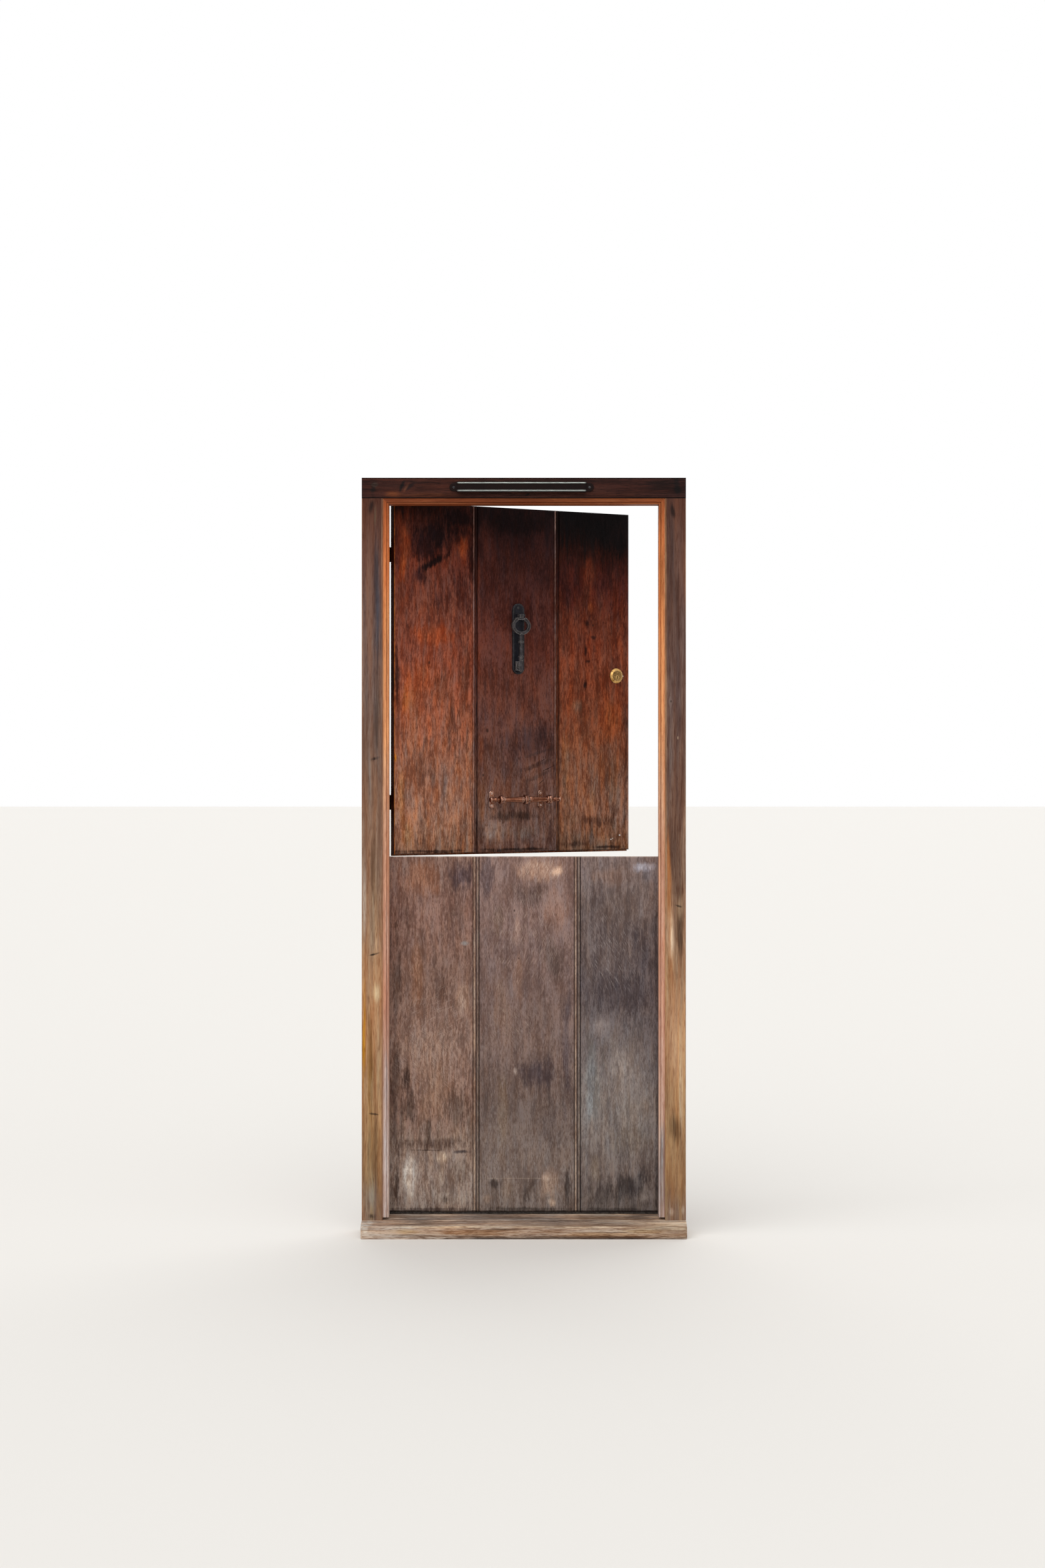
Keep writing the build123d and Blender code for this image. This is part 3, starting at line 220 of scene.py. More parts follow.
def timber(name, tones, seed, at=(0, 0, 0), lie=(0, 0, 0), depth=0.45, warm="#a08c84",
           coarse=1.0, long=1.0, fleck=2.6, cloud=1.4, hue=0.45, figure=0.1,
           pith=(0, -60, 1.5), knots=(), patches=(), strips=(), scuffs=(), specks=(),
           gloss=0.55, shine=0.12, inner=None, relief=0.5):
    """Sawn and planed timber. Board frame: X across, Y into the board, Z along the grain, in mm.

    at and lie bring the board to that frame. tones is the light tone by height, and depth how
    dark the dark grain is beside it. fleck, cloud and figure are how much fine streaks, soft
    mottling and growth rings show, and hue how far streaks turn warm or cool. pith is where
    the middle of the tree was, and its lean in degrees. A knot is (x, z, radius), a patch (x, z,
    half width, half length, colour, amount, lean), a strip (along or across the grain,
    place, half width, colour, amount), a scuff (lean, amount, colour, x, z, half width, half
    length) and a speck (x, z, radius). inner is the tone of the side in the room.
    """
    material, tree = blank(name)
    here = add(tree, "Mapping", {"Vector": add(tree, "TexCoord", out="Object"),
                                 "Location": at, "Rotation": lie})
    sway = add(tree, "TexNoise", {"Vector": here, "Scale": 5.0, "Detail": 2.0}, out="Color")
    sway = add(tree, "VectorMath", {0: sway, 1: centred}, operation="SUBTRACT")
    shift = (seed * 1.37, seed * 0.71, seed * 2.3)  # to a part of the noises of its own
    flow, grain, rings = grain_of(tree, here, sway, shift, knots, coarse, long)
    year = years_of(tree, flow, grain["fine"], shift, pith)

    # The grain: 0 where the wood is dark and 1 where it is light, with pores as dark dashes.
    mid, broad, typical = 1.9, 0.8, 0.55
    middle = typical - (fleck + cloud + mid + broad + figure) / 2
    tone = add(tree, "Math", {0: grain["fine"], 1: fleck, 2: middle}, operation="MULTIPLY_ADD")
    for field, share in ((grain["cloud"], cloud), (grain["mid"], mid), (grain["broad"], broad),
                         (year, figure)):
        tone = add(tree, "Math", {0: field, 1: share, 2: tone}, operation="MULTIPLY_ADD")
    pore = add(tree, "MapRange", {"Value": grain["pore"], "From Min": 0.54, "From Max": 0.66,
                                  "To Min": 0.0, "To Max": -0.6})
    tone = add(tree, "Math", {0: tone, 1: pore}, operation="ADD")
    deep = linear(warm)
    stain = add(tree, "ValToRGB", {"Fac": tone}, stops=(
        (0.05, tuple(depth * c / deep[0] for c in deep[:3]) + (1,)),
        (0.5, tuple((0.5 + depth / 2) * (0.5 + 0.5 * c / deep[0]) for c in deep[:3]) + (1,)),
        (0.9, (1, 1, 1, 1))))
    turned = add(tree, "ValToRGB", {"Fac": grain["tint"]}, stops=(
        (0.3, (0.75, 1.0, 1.3, 1)), (0.7, (1.3, 1.0, 0.72, 1))))
    stain = add(tree, "Mix", {"Factor": hue, mix_a: stain, mix_b: turned}, **colours,
                blend_type="MULTIPLY")

    # The colour by height, which wavers by up to 150 mm, then its stains, marks and grain.
    waver = 0.3
    height = add(tree, "SeparateXYZ", {"Vector": here}, out="Z")
    height = add(tree, "Math", {0: grain["mid"], 1: waver, 2: height}, operation="MULTIPLY_ADD")
    height = add(tree, "Math", {0: height, 1: waver / 2}, operation="SUBTRACT")
    low, high = tones[0][0] * mm, tones[-1][0] * mm
    level = add(tree, "MapRange", {"Value": height, "From Min": low, "From Max": high})
    colour = add(tree, "ValToRGB", {"Fac": level}, stops=[
        ((z * mm - low) / (high - low), linear(code)) for z, code in tones])
    colour = stained(tree, here, colour, sway, grain, patches, strips)
    colour = add(tree, "Mix", {"Factor": 1.0, mix_a: colour, mix_b: stain}, **colours,
                 blend_type="MULTIPLY")
    colour = scuffed(tree, here, colour, grain["fine"], rings, scuffs, specks)
    if inner:
        back_low, back_high = 22.8 * mm, 23.2 * mm  # either side of the back of the boards
        deep_in = add(tree, "SeparateXYZ", {"Vector": here}, out="Y")
        back = add(tree, "MapRange", {"Value": deep_in, "From Min": back_low,
                                      "From Max": back_high})
        calm = add(tree, "Mix", {"Factor": 0.5, mix_a: stain, mix_b: linear("#dcd4ce")}, **colours)
        room = add(tree, "Mix", {"Factor": 1.0, mix_a: linear(inner), mix_b: calm}, **colours,
                   blend_type="MULTIPLY")
        colour = add(tree, "Mix", {"Factor": back, mix_a: colour, mix_b: room}, **colours)

    # Light grain is smoother than dark, and the streaks, pores and rings stand in low relief.
    rough = add(tree, "MapRange", {"Value": tone, "To Min": gloss + 0.14, "To Max": gloss - 0.1})
    rise = add(tree, "Math", {0: grain["fine"], 1: 0.8, 2: pore}, operation="MULTIPLY_ADD")
    rise = add(tree, "Math", {0: year, 1: 0.3, 2: rise}, operation="MULTIPLY_ADD")
    bump = add(tree, "Bump", {"Strength": relief, "Distance": 0.8 * mm, "Height": rise})
    shader = add(tree, "BsdfPrincipled", {"Base Color": colour, "Roughness": rough,
                                          "Normal": bump, "Specular IOR Level": shine})
    add(tree, "OutputMaterial", {"Surface": shader})
    return material


along, across = 0, 2  # a strip lies along the grain at an X, or across it at a Z
across_frame = (0, -pi / 2, 0)
paint("head", timber(
    "stained_softwood_head",
    [(-450, "#3a1c15"), (-300, "#442117"), (0, "#4a271b"), (300, "#402019"), (450, "#341913")],
    seed=3, lie=across_frame, depth=0.26, long=3.0, fleck=1.8, figure=0.2, pith=(-2050, -50, 1.0),
    patches=(
        (-2046, -412, 22, 8, "#1b0f0d", 0.9, 9), (-2059, -407, 8, 9, "#4e4038", 0.8),
        (-2056, -333, 27, 5, "#100707", 0.95, 22), (-2053, -312, 25, 6, "#221110", 0.85, 48),
        (-2050, -323, 18, 4, "#653c2a", 0.7, 30), (-2034, -353, 9, 26, "#743f22", 0.8),
        (-2034, 10, 2.5, 6, "#0f0706", 0.9, -25), (-2052, 423, 27, 9, "#120908", 0.9, -15),
        (-2060, 380, 14, 40, "#2a1511", 0.7), (-2032, -250, 8, 90, "#63371f", 0.7),
        (-2072, 0, 8, 300, "#241210", 0.6), (-2033, 250, 8, 90, "#4c291c", 0.6)),
    strips=((along, -2024.8, 1.3, "#120807", 0.9), (along, -2079.0, 1.5, "#150a08", 0.8)),
    gloss=0.5))


# Jambs: the same stained softwood. The stain is sound and dark at the top, partly with painted
# shade of the eaves, greyed at mid height, and worn to bare yellow wood near the ground, where
# rain strikes it.
jamb_tones = [
    (40, "#a08c78"), (130, "#9a805f"), (330, "#ae8a62"), (560, "#c09870"), (740, "#b8936f"),
    (900, "#a4866c"), (1100, "#9a7e68"), (1300, "#8d7565"), (1550, "#7c665c"), (1800, "#725448"),
    (2020, "#5c3a2d")]
jamb_wood = {"depth": 0.5, "long": 4.0, "fleck": 1.2, "figure": 0.14, "gloss": 0.6}
paint("jamb_left", timber(
    "weathered_softwood_left_jamb", jamb_tones, seed=7, **jamb_wood, pith=(-420, -70, 0.6),
    knots=((-410, 1309, 3),),
    patches=(
        (-402, 1745, 9, 210, "#4a464c", 0.9), (-424, 1700, 8, 240, "#7c5c4c", 0.7),
        (-405, 1450, 10, 120, "#6b6058", 0.7), (-439, 560, 6, 150, "#cc901c", 0.95),
        (-438, 920, 6, 110, "#c8bcac", 0.85), (-402, 680, 10, 26, "#e0cba4", 0.9),
        (-412, 880, 12, 120, "#b8a080", 0.6), (-395, 430, 6, 300, "#c8a478", 0.7),
        (-420, 450, 9, 150, "#86602e", 0.8), (-410, 250, 18, 90, "#8a6c48", 0.7),
        (-420, 110, 20, 60, "#9c9080", 0.8), (-418, 52, 9, 10, "#4a3a30", 0.9),
        (-412, 1000, 9, 90, "#6c5a4a", 0.7), (-402, 800, 10, 24, "#c4ab8e", 0.7),
        (-417, 2003, 8, 26, "#20120f", 0.9, 9), (-408, 1975, 4, 30, "#6c5a48", 0.7),
        (-410, 1309, 16, 5, "#4c4440", 0.7, -20), (-412, 772, 15, 3, "#2e241e", 0.9, -18),
        (-411, 334, 14, 3, "#3a2a1e", 0.8, 6), (-425, 540, 5, 120, "#9c7850", 0.7)),
    strips=(
        (along, -444.3, 1.4, "#b48c70", 0.7), (along, -389.6, 1.4, "#a8866a", 0.7),
        (across, 2023.6, 1.0, "#140a08", 0.8))))
paint("jamb_right", timber(
    "weathered_softwood_right_jamb", jamb_tones, seed=11, **jamb_wood, pith=(420, -70, 0.6),
    knots=((404, 1466, 3),),
    patches=(
        (410, 1750, 20, 260, "#574038", 0.9), (418, 1370, 26, 330, "#695149", 0.9),
        (420, 1050, 26, 150, "#654b3d", 0.9), (396, 1000, 4, 110, "#b87a48", 0.8),
        (402, 815, 10, 62, "#f0e4cc", 0.95), (426, 850, 12, 90, "#64503e", 0.85),
        (430, 900, 9, 30, "#b8a284", 0.7), (412, 560, 22, 130, "#d2b28e", 0.8),
        (432, 420, 7, 160, "#d8c09c", 0.8), (412, 290, 15, 46, "#6a5238", 0.9),
        (418, 170, 18, 70, "#b8966c", 0.7), (423, 1365, 2, 5, "#d8c0a0", 0.8),
        (405, 66, 6, 12, "#cbc3b4", 0.7), (436, 70, 5, 16, "#cbc3b4", 0.6),
        (398, 760, 6, 260, "#c29464", 0.7), (424, 905, 10, 3, "#2e221a", 0.8, 20),
        (412, 1990, 8, 26, "#1c100e", 0.85, -14)),
    strips=(
        (along, 444.3, 1.4, "#a88c72", 0.7), (along, 389.6, 1.4, "#b48a60", 0.7),
        (across, 2023.6, 1.0, "#140a08", 0.8))))


# Stop beads: small planted mouldings of a paler hardwood, pinned to the frame.
# They are darker just under the head, then orange, and silver grey at the feet. Each side bead
# has a painted highlight along one arris and painted shade in its quirks, and the bead along
# the head is painted darker all over, as shade.
stop_tones = [
    (50, "#d6ccc6"), (160, "#d3c4bc"), (330, "#d6baa8"), (600, "#d8ac96"), (900, "#e0b094"),
    (1150, "#e6b28e"), (1400, "#eca974"), (1700, "#eea064"), (1900, "#e4864c"), (2020, "#a45c32")]
# Lines down each side bead: a painted highlight on one arris and painted shade in two quirks.
bead_highlight_and_shade_lines = (
    (387.4, 0.8, "#f0c49c", 0.7), (384.9, 0.7, "#a86a48", 0.6), (376.6, 0.8, "#7c4c36", 0.8))
for side, sign, seed, stains in (
        ("left", -1, 17, ((-379, 260, 9, 200, "#dcd2cc", 0.8),)),
        ("right", 1, 19, ((379, 190, 9, 130, "#a09a98", 0.95), (379, 420, 9, 130, "#d0aa98", 0.5),
                          (379, 1800, 9, 160, "#b47040", 0.8)))):
    bead_light_and_shade_strips = [(along, sign * x, wide, code, amount) for x, wide, code, amount in bead_highlight_and_shade_lines]
    paint("stop_bead_" + side, timber(
        "planed_hardwood_stop_" + side, stop_tones, seed=seed, depth=0.62, long=4.0, fleck=0.9,
        hue=0.3, gloss=0.55, coarse=0.8, patches=stains, strips=bead_light_and_shade_strips))
# The bead along the head: painted darker than the side beads, as shade.
paint("stop_bead_head", timber(
    "planed_hardwood_stop_head", [(-400, "#8f5230"), (0, "#824724"), (400, "#94552f")], seed=23,
    lie=across_frame, depth=0.6, long=4.0, fleck=0.9, gloss=0.5, coarse=0.8))


# Sill: bare softwood, unvarnished for years, grey on its slope with a yellow worn arris,
# open cracks along the grain and pale worn spots at both ends.
paint("sill", timber(
    "bare_softwood_sill",
    [(-450, "#cdb9a6"), (-200, "#c4ae9a"), (100, "#bda692"), (450, "#cfbaa2")], seed=29,
    lie=across_frame, depth=0.42, warm="#a09086", long=2.2, fleck=2.0, hue=0.35, figure=0.2,
    pith=(-60, 90, 0.6),
    patches=(
        # Along the back of the slope, at the foot of the leaves: grey weathering darkened further
        # by painted shade of the leaves.
        (-44, -300, 9, 80, "#8f857c", 0.8), (-45, -60, 7, 160, "#8a7f76", 0.8),
        (-44, 220, 8, 90, "#94877a", 0.7), (-47, 330, 5, 50, "#6c6058", 0.7),
        (-36, 420, 10, 50, "#dccbb4", 0.8), (-38, 60, 6, 120, "#b4a698", 0.7),
        (-33, -200, 3, 260, "#dcc8ac", 0.8), (-33, 150, 3, 220, "#dcc8ac", 0.8),
        (-30, 400, 7, 60, "#e2d0b4", 0.8), (-34, -442, 8, 12, "#f0ebe0", 0.95),
        (-22, -436, 12, 8, "#e8e0d2", 0.9), (-40, -425, 4, 9, "#ece6da", 0.8),
        (-18, -330, 9, 70, "#b8966c", 0.8), (-16, -120, 8, 120, "#a88058", 0.7),
        (-20, 60, 6, 60, "#8c6a4c", 0.7), (-14, 210, 8, 130, "#b08a62", 0.7),
        (-22, 330, 7, 60, "#c8aa80", 0.7), (-8, -250, 4, 160, "#7c604a", 0.8),
        (-6, 120, 4, 280, "#6c5442", 0.8), (-2, 0, 3, 445, "#3a2c24", 0.9),
        (-26, -40, 1.6, 60, "#5a4434", 0.8), (-19, 250, 1.4, 90, "#5a4434", 0.8),
        (-12, -330, 1.4, 70, "#503c2e", 0.8), (-41, 100, 1.2, 130, "#6a5c52", 0.8)),
    gloss=0.72, relief=0.8))


# Water bar: a galvanised flat strip let into the sill, its zinc dull with dirt and painted darker
# still, as shade of the gap under the leaves.
# Weather seal: extruded rubber pressed into the stops, matt and nearly black.
def dressed(name, dark, light, size, rough, metallic=0.0, bumps=0.0, rub=None, fine=0.0,
            shine=0.5, edge=None, grime=None):
    """A plain finish that varies between two colours over the given size in millimetres.

    rough is its roughness from the dark to the light of them, bumps the height of its relief and
    fine the size of its grain, both in millimetres. rub is a colour and an amount in random
    spots, edge a colour, an amount and a radius for pale rounded edges, partly wear and partly
    painted highlight, and grime a colour and an amount in the hollows.
    """
    material, tree = blank(name)
    here = add(tree, "TexCoord", out="Object")
    cloud = add(tree, "TexNoise", {"Vector": here, "Scale": 1000.0 / size, "Detail": 4.0,
                                   "Roughness": 0.6})
    colour = lay(tree, linear(dark), light, cloud, (0.36, 0.64), (0.0, 1.0))
    if rub:
        code, amount = rub
        grit = add(tree, "TexNoise", {"Vector": here, "Scale": 1500.0 / size, "Detail": 5.0,
                                      "Roughness": 0.75})
        colour = lay(tree, colour, code, grit, (0.6, 0.68), (0.0, amount))
    if grime:
        code, amount = grime
        open_to = add(tree, "AmbientOcclusion", {"Distance": 12 * mm}, out="AO", samples=4)
        colour = lay(tree, colour, code, open_to, (0.35, 0.8), (amount, 0.0))
    # Pale rounded edges: partly wear and partly painted highlight.
    if edge:
        code, amount, radius = edge
        rounded = add(tree, "Bevel", {"Radius": radius * mm}, samples=4)
        sharp = add(tree, "NewGeometry", out="Normal")
        facing = add(tree, "VectorMath", {0: rounded, 1: sharp}, out="Value",
                     operation="DOT_PRODUCT")
        patchy = add(tree, "TexNoise", {"Vector": here, "Scale": 3000.0 / size, "Detail": 2.0})
        mask = add(tree, "MapRange", {"Value": facing, "From Min": 0.97, "From Max": 0.86,
                                      "To Min": 0.0, "To Max": amount * 1.6})
        mask = add(tree, "Math", {0: mask, 1: patchy}, operation="MULTIPLY")
        colour = add(tree, "Mix", {"Factor": mask, mix_a: colour, mix_b: linear(code)}, **colours)
    sheen = add(tree, "MapRange", {"Value": cloud, "From Min": 0.3, "From Max": 0.7,
                                   "To Min": rough[0], "To Max": rough[1]})
    grain = add(tree, "TexNoise", {"Vector": here, "Scale": 1000.0 / (fine or size / 6),
                                   "Detail": 3.0})
    bump = add(tree, "Bump", {"Strength": 0.6, "Distance": bumps * mm, "Height": grain})
    shader = add(tree, "BsdfPrincipled", {
        "Base Color": colour, "Roughness": sheen, "Metallic": metallic, "Normal": bump,
        "Specular IOR Level": shine})
    add(tree, "OutputMaterial", {"Surface": shader})
    return material


# Darker than its dirt alone: painted shade of the gap under the leaves.
paint("water_bar", dressed("dirty_galvanised_steel_painted_shade", "#2c2724", "#4c4642", 9, (0.6, 0.45),
                           metallic=0.7, bumps=0.05, shine=0.2))
paint("weather_seal", dressed("extruded_rubber", "#141414", "#242322", 14, (0.75, 0.6),
                              bumps=0.05))


# Upper leaf: three tongued and grooved oak boards, beaded each side of the joints.
# Nearly black at the top, partly a dark stain and partly painted shade of the eaves, red brown
# in the middle, faded at the foot.
# The left bead of each joint carries a painted highlight, and the right one painted shade with
# dirt.
joints = {joint["name"]: joint for joint in frame["record"]["behaviour"]["joints"]}
hinge = Vector(joints["upper_leaf_hinge"]["pos_m"])
ajar = radians(30)
shut = Matrix.Translation(hinge) @ Matrix.Rotation(-ajar, 4, "Z") @ Matrix.Translation(-hinge)
inner_stain = "#8a5a3c"
upper_wood = {"at": tuple(shut.translation), "lie": (0, 0, -ajar), "shine": 0.05,
              "inner": inner_stain}
joint_dirt_and_shade = "#1a0f0d"
upper_joints = (-128, 139)
# Per joint: a quirk line of dirt and shade, a painted highlight on the left bead, painted shade
# with dirt on the right bead, and the dark joint.
upper_beads = (
    (-8.2, 0.8, joint_dirt_and_shade, 0.5), (-3.2, 3.2, "#8e746c", 0.7), (4.3, 2.4, "#1e0f0e", 0.85),
    (0.3, 0.5, joint_dirt_and_shade, 0.5))
upper_strips = [(along, joint + off, wide, code, amount)
                for joint in upper_joints for off, wide, code, amount in upper_beads]
# Across the boards: a dark band along the top edge, a strip for the lapped tongue at the foot, and
# a line of painted shade above that strip.
upper_strips += [
    (across, 2021, 2.0, "#160a0a", 2.0), (across, 1041.2, 2.1, "#8f5730", 0.8),
    (across, 1045.2, 1.4, joint_dirt_and_shade, 0.6)]
paint("upper_board_left", timber(
    "varnished_oak_upper_left", [
        (1044, "#aa846a"), (1143, "#b98a70"), (1296, "#ae7c64"), (1450, "#b06b50"),
        (1602, "#a05c46"), (1756, "#86503f"), (1870, "#763d2f"), (1950, "#54291f"),
        (2020, "#28120f")],
    seed=31, **upper_wood, depth=0.4, hue=0.8, figure=0.1, gloss=0.48, pith=(-250, -80, 1.2),
    knots=((-274, 1577, 4.5),),
    patches=(
        (-250, 1940, 80, 44, "#1c0c0e", 0.95), (-290, 1895, 46, 40, "#241012", 0.9),
        (-262, 1858, 52, 12, "#150a0c", 0.95, -28), (-300, 1815, 22, 30, "#32181a", 0.85),
        (-190, 1985, 60, 24, "#1a0b0c", 0.9), (-352, 1890, 22, 80, "#984c2c", 0.85),
        (-357, 1846, 12, 36, "#b05a30", 0.85), (-372, 1960, 12, 40, "#7a3a22", 0.8),
        (-170, 1905, 20, 34, "#a2502c", 0.9), (-142, 1880, 12, 90, "#2a1312", 0.85),
        (-170, 1770, 40, 90, "#542c26", 0.8), (-240, 1760, 40, 50, "#5c322a", 0.7),
        (-330, 1780, 26, 60, "#6e3628", 0.6), (-265, 1650, 70, 34, "#b8603a", 0.8),
        (-340, 1640, 20, 70, "#7c4434", 0.6), (-180, 1660, 26, 70, "#6c3a2e", 0.7),
        (-345, 1482, 24, 52, "#c46c38", 0.9), (-376, 1560, 8, 90, "#3a2020", 0.8),
        (-300, 1533, 50, 50, "#b4643e", 0.6), (-225, 1490, 40, 60, "#80503c", 0.6),
        (-160, 1500, 16, 160, "#6e4434", 0.7), (-320, 1400, 20, 90, "#b87c5c", 0.6),
        (-200, 1390, 24, 80, "#7e5240", 0.6), (-150, 1330, 14, 80, "#b07454", 0.7),
        (-225, 1215, 26, 70, "#a88c7e", 0.85), (-290, 1290, 26, 80, "#8a6250", 0.6),
        (-362, 1200, 10, 120, "#c08a5c", 0.8), (-340, 1100, 16, 40, "#b98a5e", 0.7),
        (-245, 1120, 14, 60, "#b8947c", 0.7), (-170, 1110, 20, 50, "#8c6450", 0.6),
        (-300, 1120, 12, 60, "#7c5c4c", 0.6), (-270, 1051, 120, 5, "#3c2a24", 0.85),
        (-379, 1312, 3, 12, "#e0921c", 0.95)),
    # Down the left edge: a painted highlight on the arris and a line of painted shade in the gap
    # beside it.
    strips=upper_strips + [
        (along, -382.8, 1.1, "#b8722f", 0.9), (along, -384.3, 0.5, "#3a160e", 0.95)]))
paint("upper_board_middle", timber(
    "varnished_oak_upper_middle", [
        (1044, "#8a6c60"), (1130, "#96776a"), (1230, "#8b695d"), (1350, "#70504a"),
        (1500, "#74483c"), (1650, "#6e3e34"), (1800, "#54302b"), (1900, "#3b1f1d"),
        (2020, "#190b0c")],
    seed=37, **upper_wood, depth=0.38, hue=0.6, figure=0.22, gloss=0.46, pith=(-75, -36, 1.8),
    knots=((-88, 1388, 5), (-102, 1262, 4)),
    patches=(
        (-55, 1100, 40, 34, "#b39482", 0.9), (-78, 1088, 14, 16, "#c0a594", 0.8),
        # Under the handle: a dark band, partly stain and partly painted shadow of the handle.
        (30, 1098, 50, 20, "#8e7566", 0.7), (10, 1146, 70, 16, "#40302a", 0.75),
        (-20, 1180, 60, 26, "#5c443c", 0.6), (-104, 1170, 14, 110, "#98694c", 0.8),
        (-110, 1330, 10, 50, "#8a563e", 0.7), (45, 1354, 74, 66, "#4a3331", 0.7),
        (60, 1285, 60, 8, "#4a3834", 0.7, -18), (60, 1320, 66, 5, "#4c3a38", 0.7, -14),
        (70, 1255, 60, 6, "#56423c", 0.6, -22), (-40, 1230, 40, 40, "#8a5e4a", 0.6),
        (60, 1220, 40, 24, "#7c584a", 0.6), (112, 1110, 24, 50, "#7d6258", 0.6),
        (-104, 1100, 14, 40, "#6a5046", 0.6), (-90, 1900, 30, 110, "#58302a", 0.6),
        (-118, 1700, 8, 160, "#8a5040", 0.6), (40, 1760, 60, 90, "#4c2824", 0.6),
        (105, 1278, 28, 1.3, "#20110d", 0.9, -22), (92, 1303, 15, 1.2, "#20110d", 0.9, -30),
        (88, 1242, 9, 1.2, "#20110d", 0.9, -36), (0, 1050, 130, 5, "#302420", 0.85),
        # The darkest band along the top: painted shade of the eaves over a dark stain.
        (0, 1985, 140, 36, "#120708", 0.8)),
    strips=upper_strips, scuffs=((12, 0.35, "#b09a8c", -20, 1100, 110, 60),)))
paint("upper_board_right", timber(
    "varnished_oak_upper_right", [
        (1044, "#8e6e56"), (1143, "#ac8068"), (1296, "#98684f"), (1450, "#8e5036"),
        (1602, "#925038"), (1700, "#7c4432"), (1800, "#562822"), (1880, "#38170f"),
        (1950, "#150807"), (2020, "#080304")],
    seed=41, **upper_wood, depth=0.36, hue=0.8, figure=0.1, gloss=0.46, pith=(260, -70, 1.5),
    knots=((262, 1694, 3.5), (233, 1519, 4)),
    patches=(
        # The near-black top right corner: painted shade of the eaves over a dark stain.
        (300, 1965, 110, 60, "#080304", 0.9), (243, 1800, 26, 60, "#7c3c26", 0.75),
        (330, 1780, 30, 70, "#6e3322", 0.6), (170, 1790, 16, 90, "#3c1c18", 0.7),
        (315, 1409, 40, 60, "#a4582f", 0.8), (226, 1342, 28, 80, "#a06446", 0.75),
        (240, 1640, 60, 50, "#8a452f", 0.6), (240, 1700, 8, 11, "#301612", 0.85),
        (262, 1660, 10, 6, "#2c1512", 0.8), (236, 1625, 5, 16, "#331814", 0.8),
        (244, 1590, 9, 5, "#331814", 0.8), (233, 1519, 8, 14, "#2e1612", 0.9),
        (252, 1745, 8, 16, "#b06844", 0.7), (206, 1460, 16, 24, "#a87c60", 0.6),
        (345, 1560, 20, 80, "#6a3628", 0.6), (372, 1500, 10, 300, "#4e2a20", 0.6),
        (170, 1250, 14, 140, "#a87c5e", 0.7), (330, 1230, 24, 80, "#8c6850", 0.6),
        (290, 1290, 10, 60, "#b07a58", 0.6), (260, 1200, 10, 50, "#a87e60", 0.7),
        (282, 1130, 70, 16, "#5c4034", 0.7), (200, 1140, 20, 30, "#a07c62", 0.6),
        (340, 1160, 20, 20, "#6c4c3e", 0.6), (198, 1061, 40, 10, "#4e382e", 0.7),
        (320, 1052, 60, 5, "#33221c", 0.8), (262, 1078, 20, 20, "#9a8272", 0.7)),
    strips=upper_strips,
    specks=(
        (323, 1074, 2.2), (353, 1086, 2.6), (329, 1077, 1.6), (364, 1549, 2.0),
        (352, 1562, 1.8))))


# Lower leaf: the same boards in full weather, so the varnish has gone grey and is
# scratched, with pale worn places, and darker towards the sill.
lower_joints = (-132, 148)
# Per joint: painted highlights on the bead crowns, painted shade with dirt in the quirks and on
# the right bead, and the dark joint.
lower_beads = (
    (-8.4, 1.0, "#2c201c", 0.65), (-4.8, 2.0, "#b8a08a", 0.7), (2.0, 2.2, "#7c6a60", 0.5),
    (5.4, 0.9, "#a89478", 0.5), (8.0, 1.4, "#2a1c20", 0.85), (-0.6, 0.8, "#3a2824", 0.7))
lower_strips = [(along, joint + off, wide, code, amount)
                for joint in lower_joints for off, wide, code, amount in lower_beads]
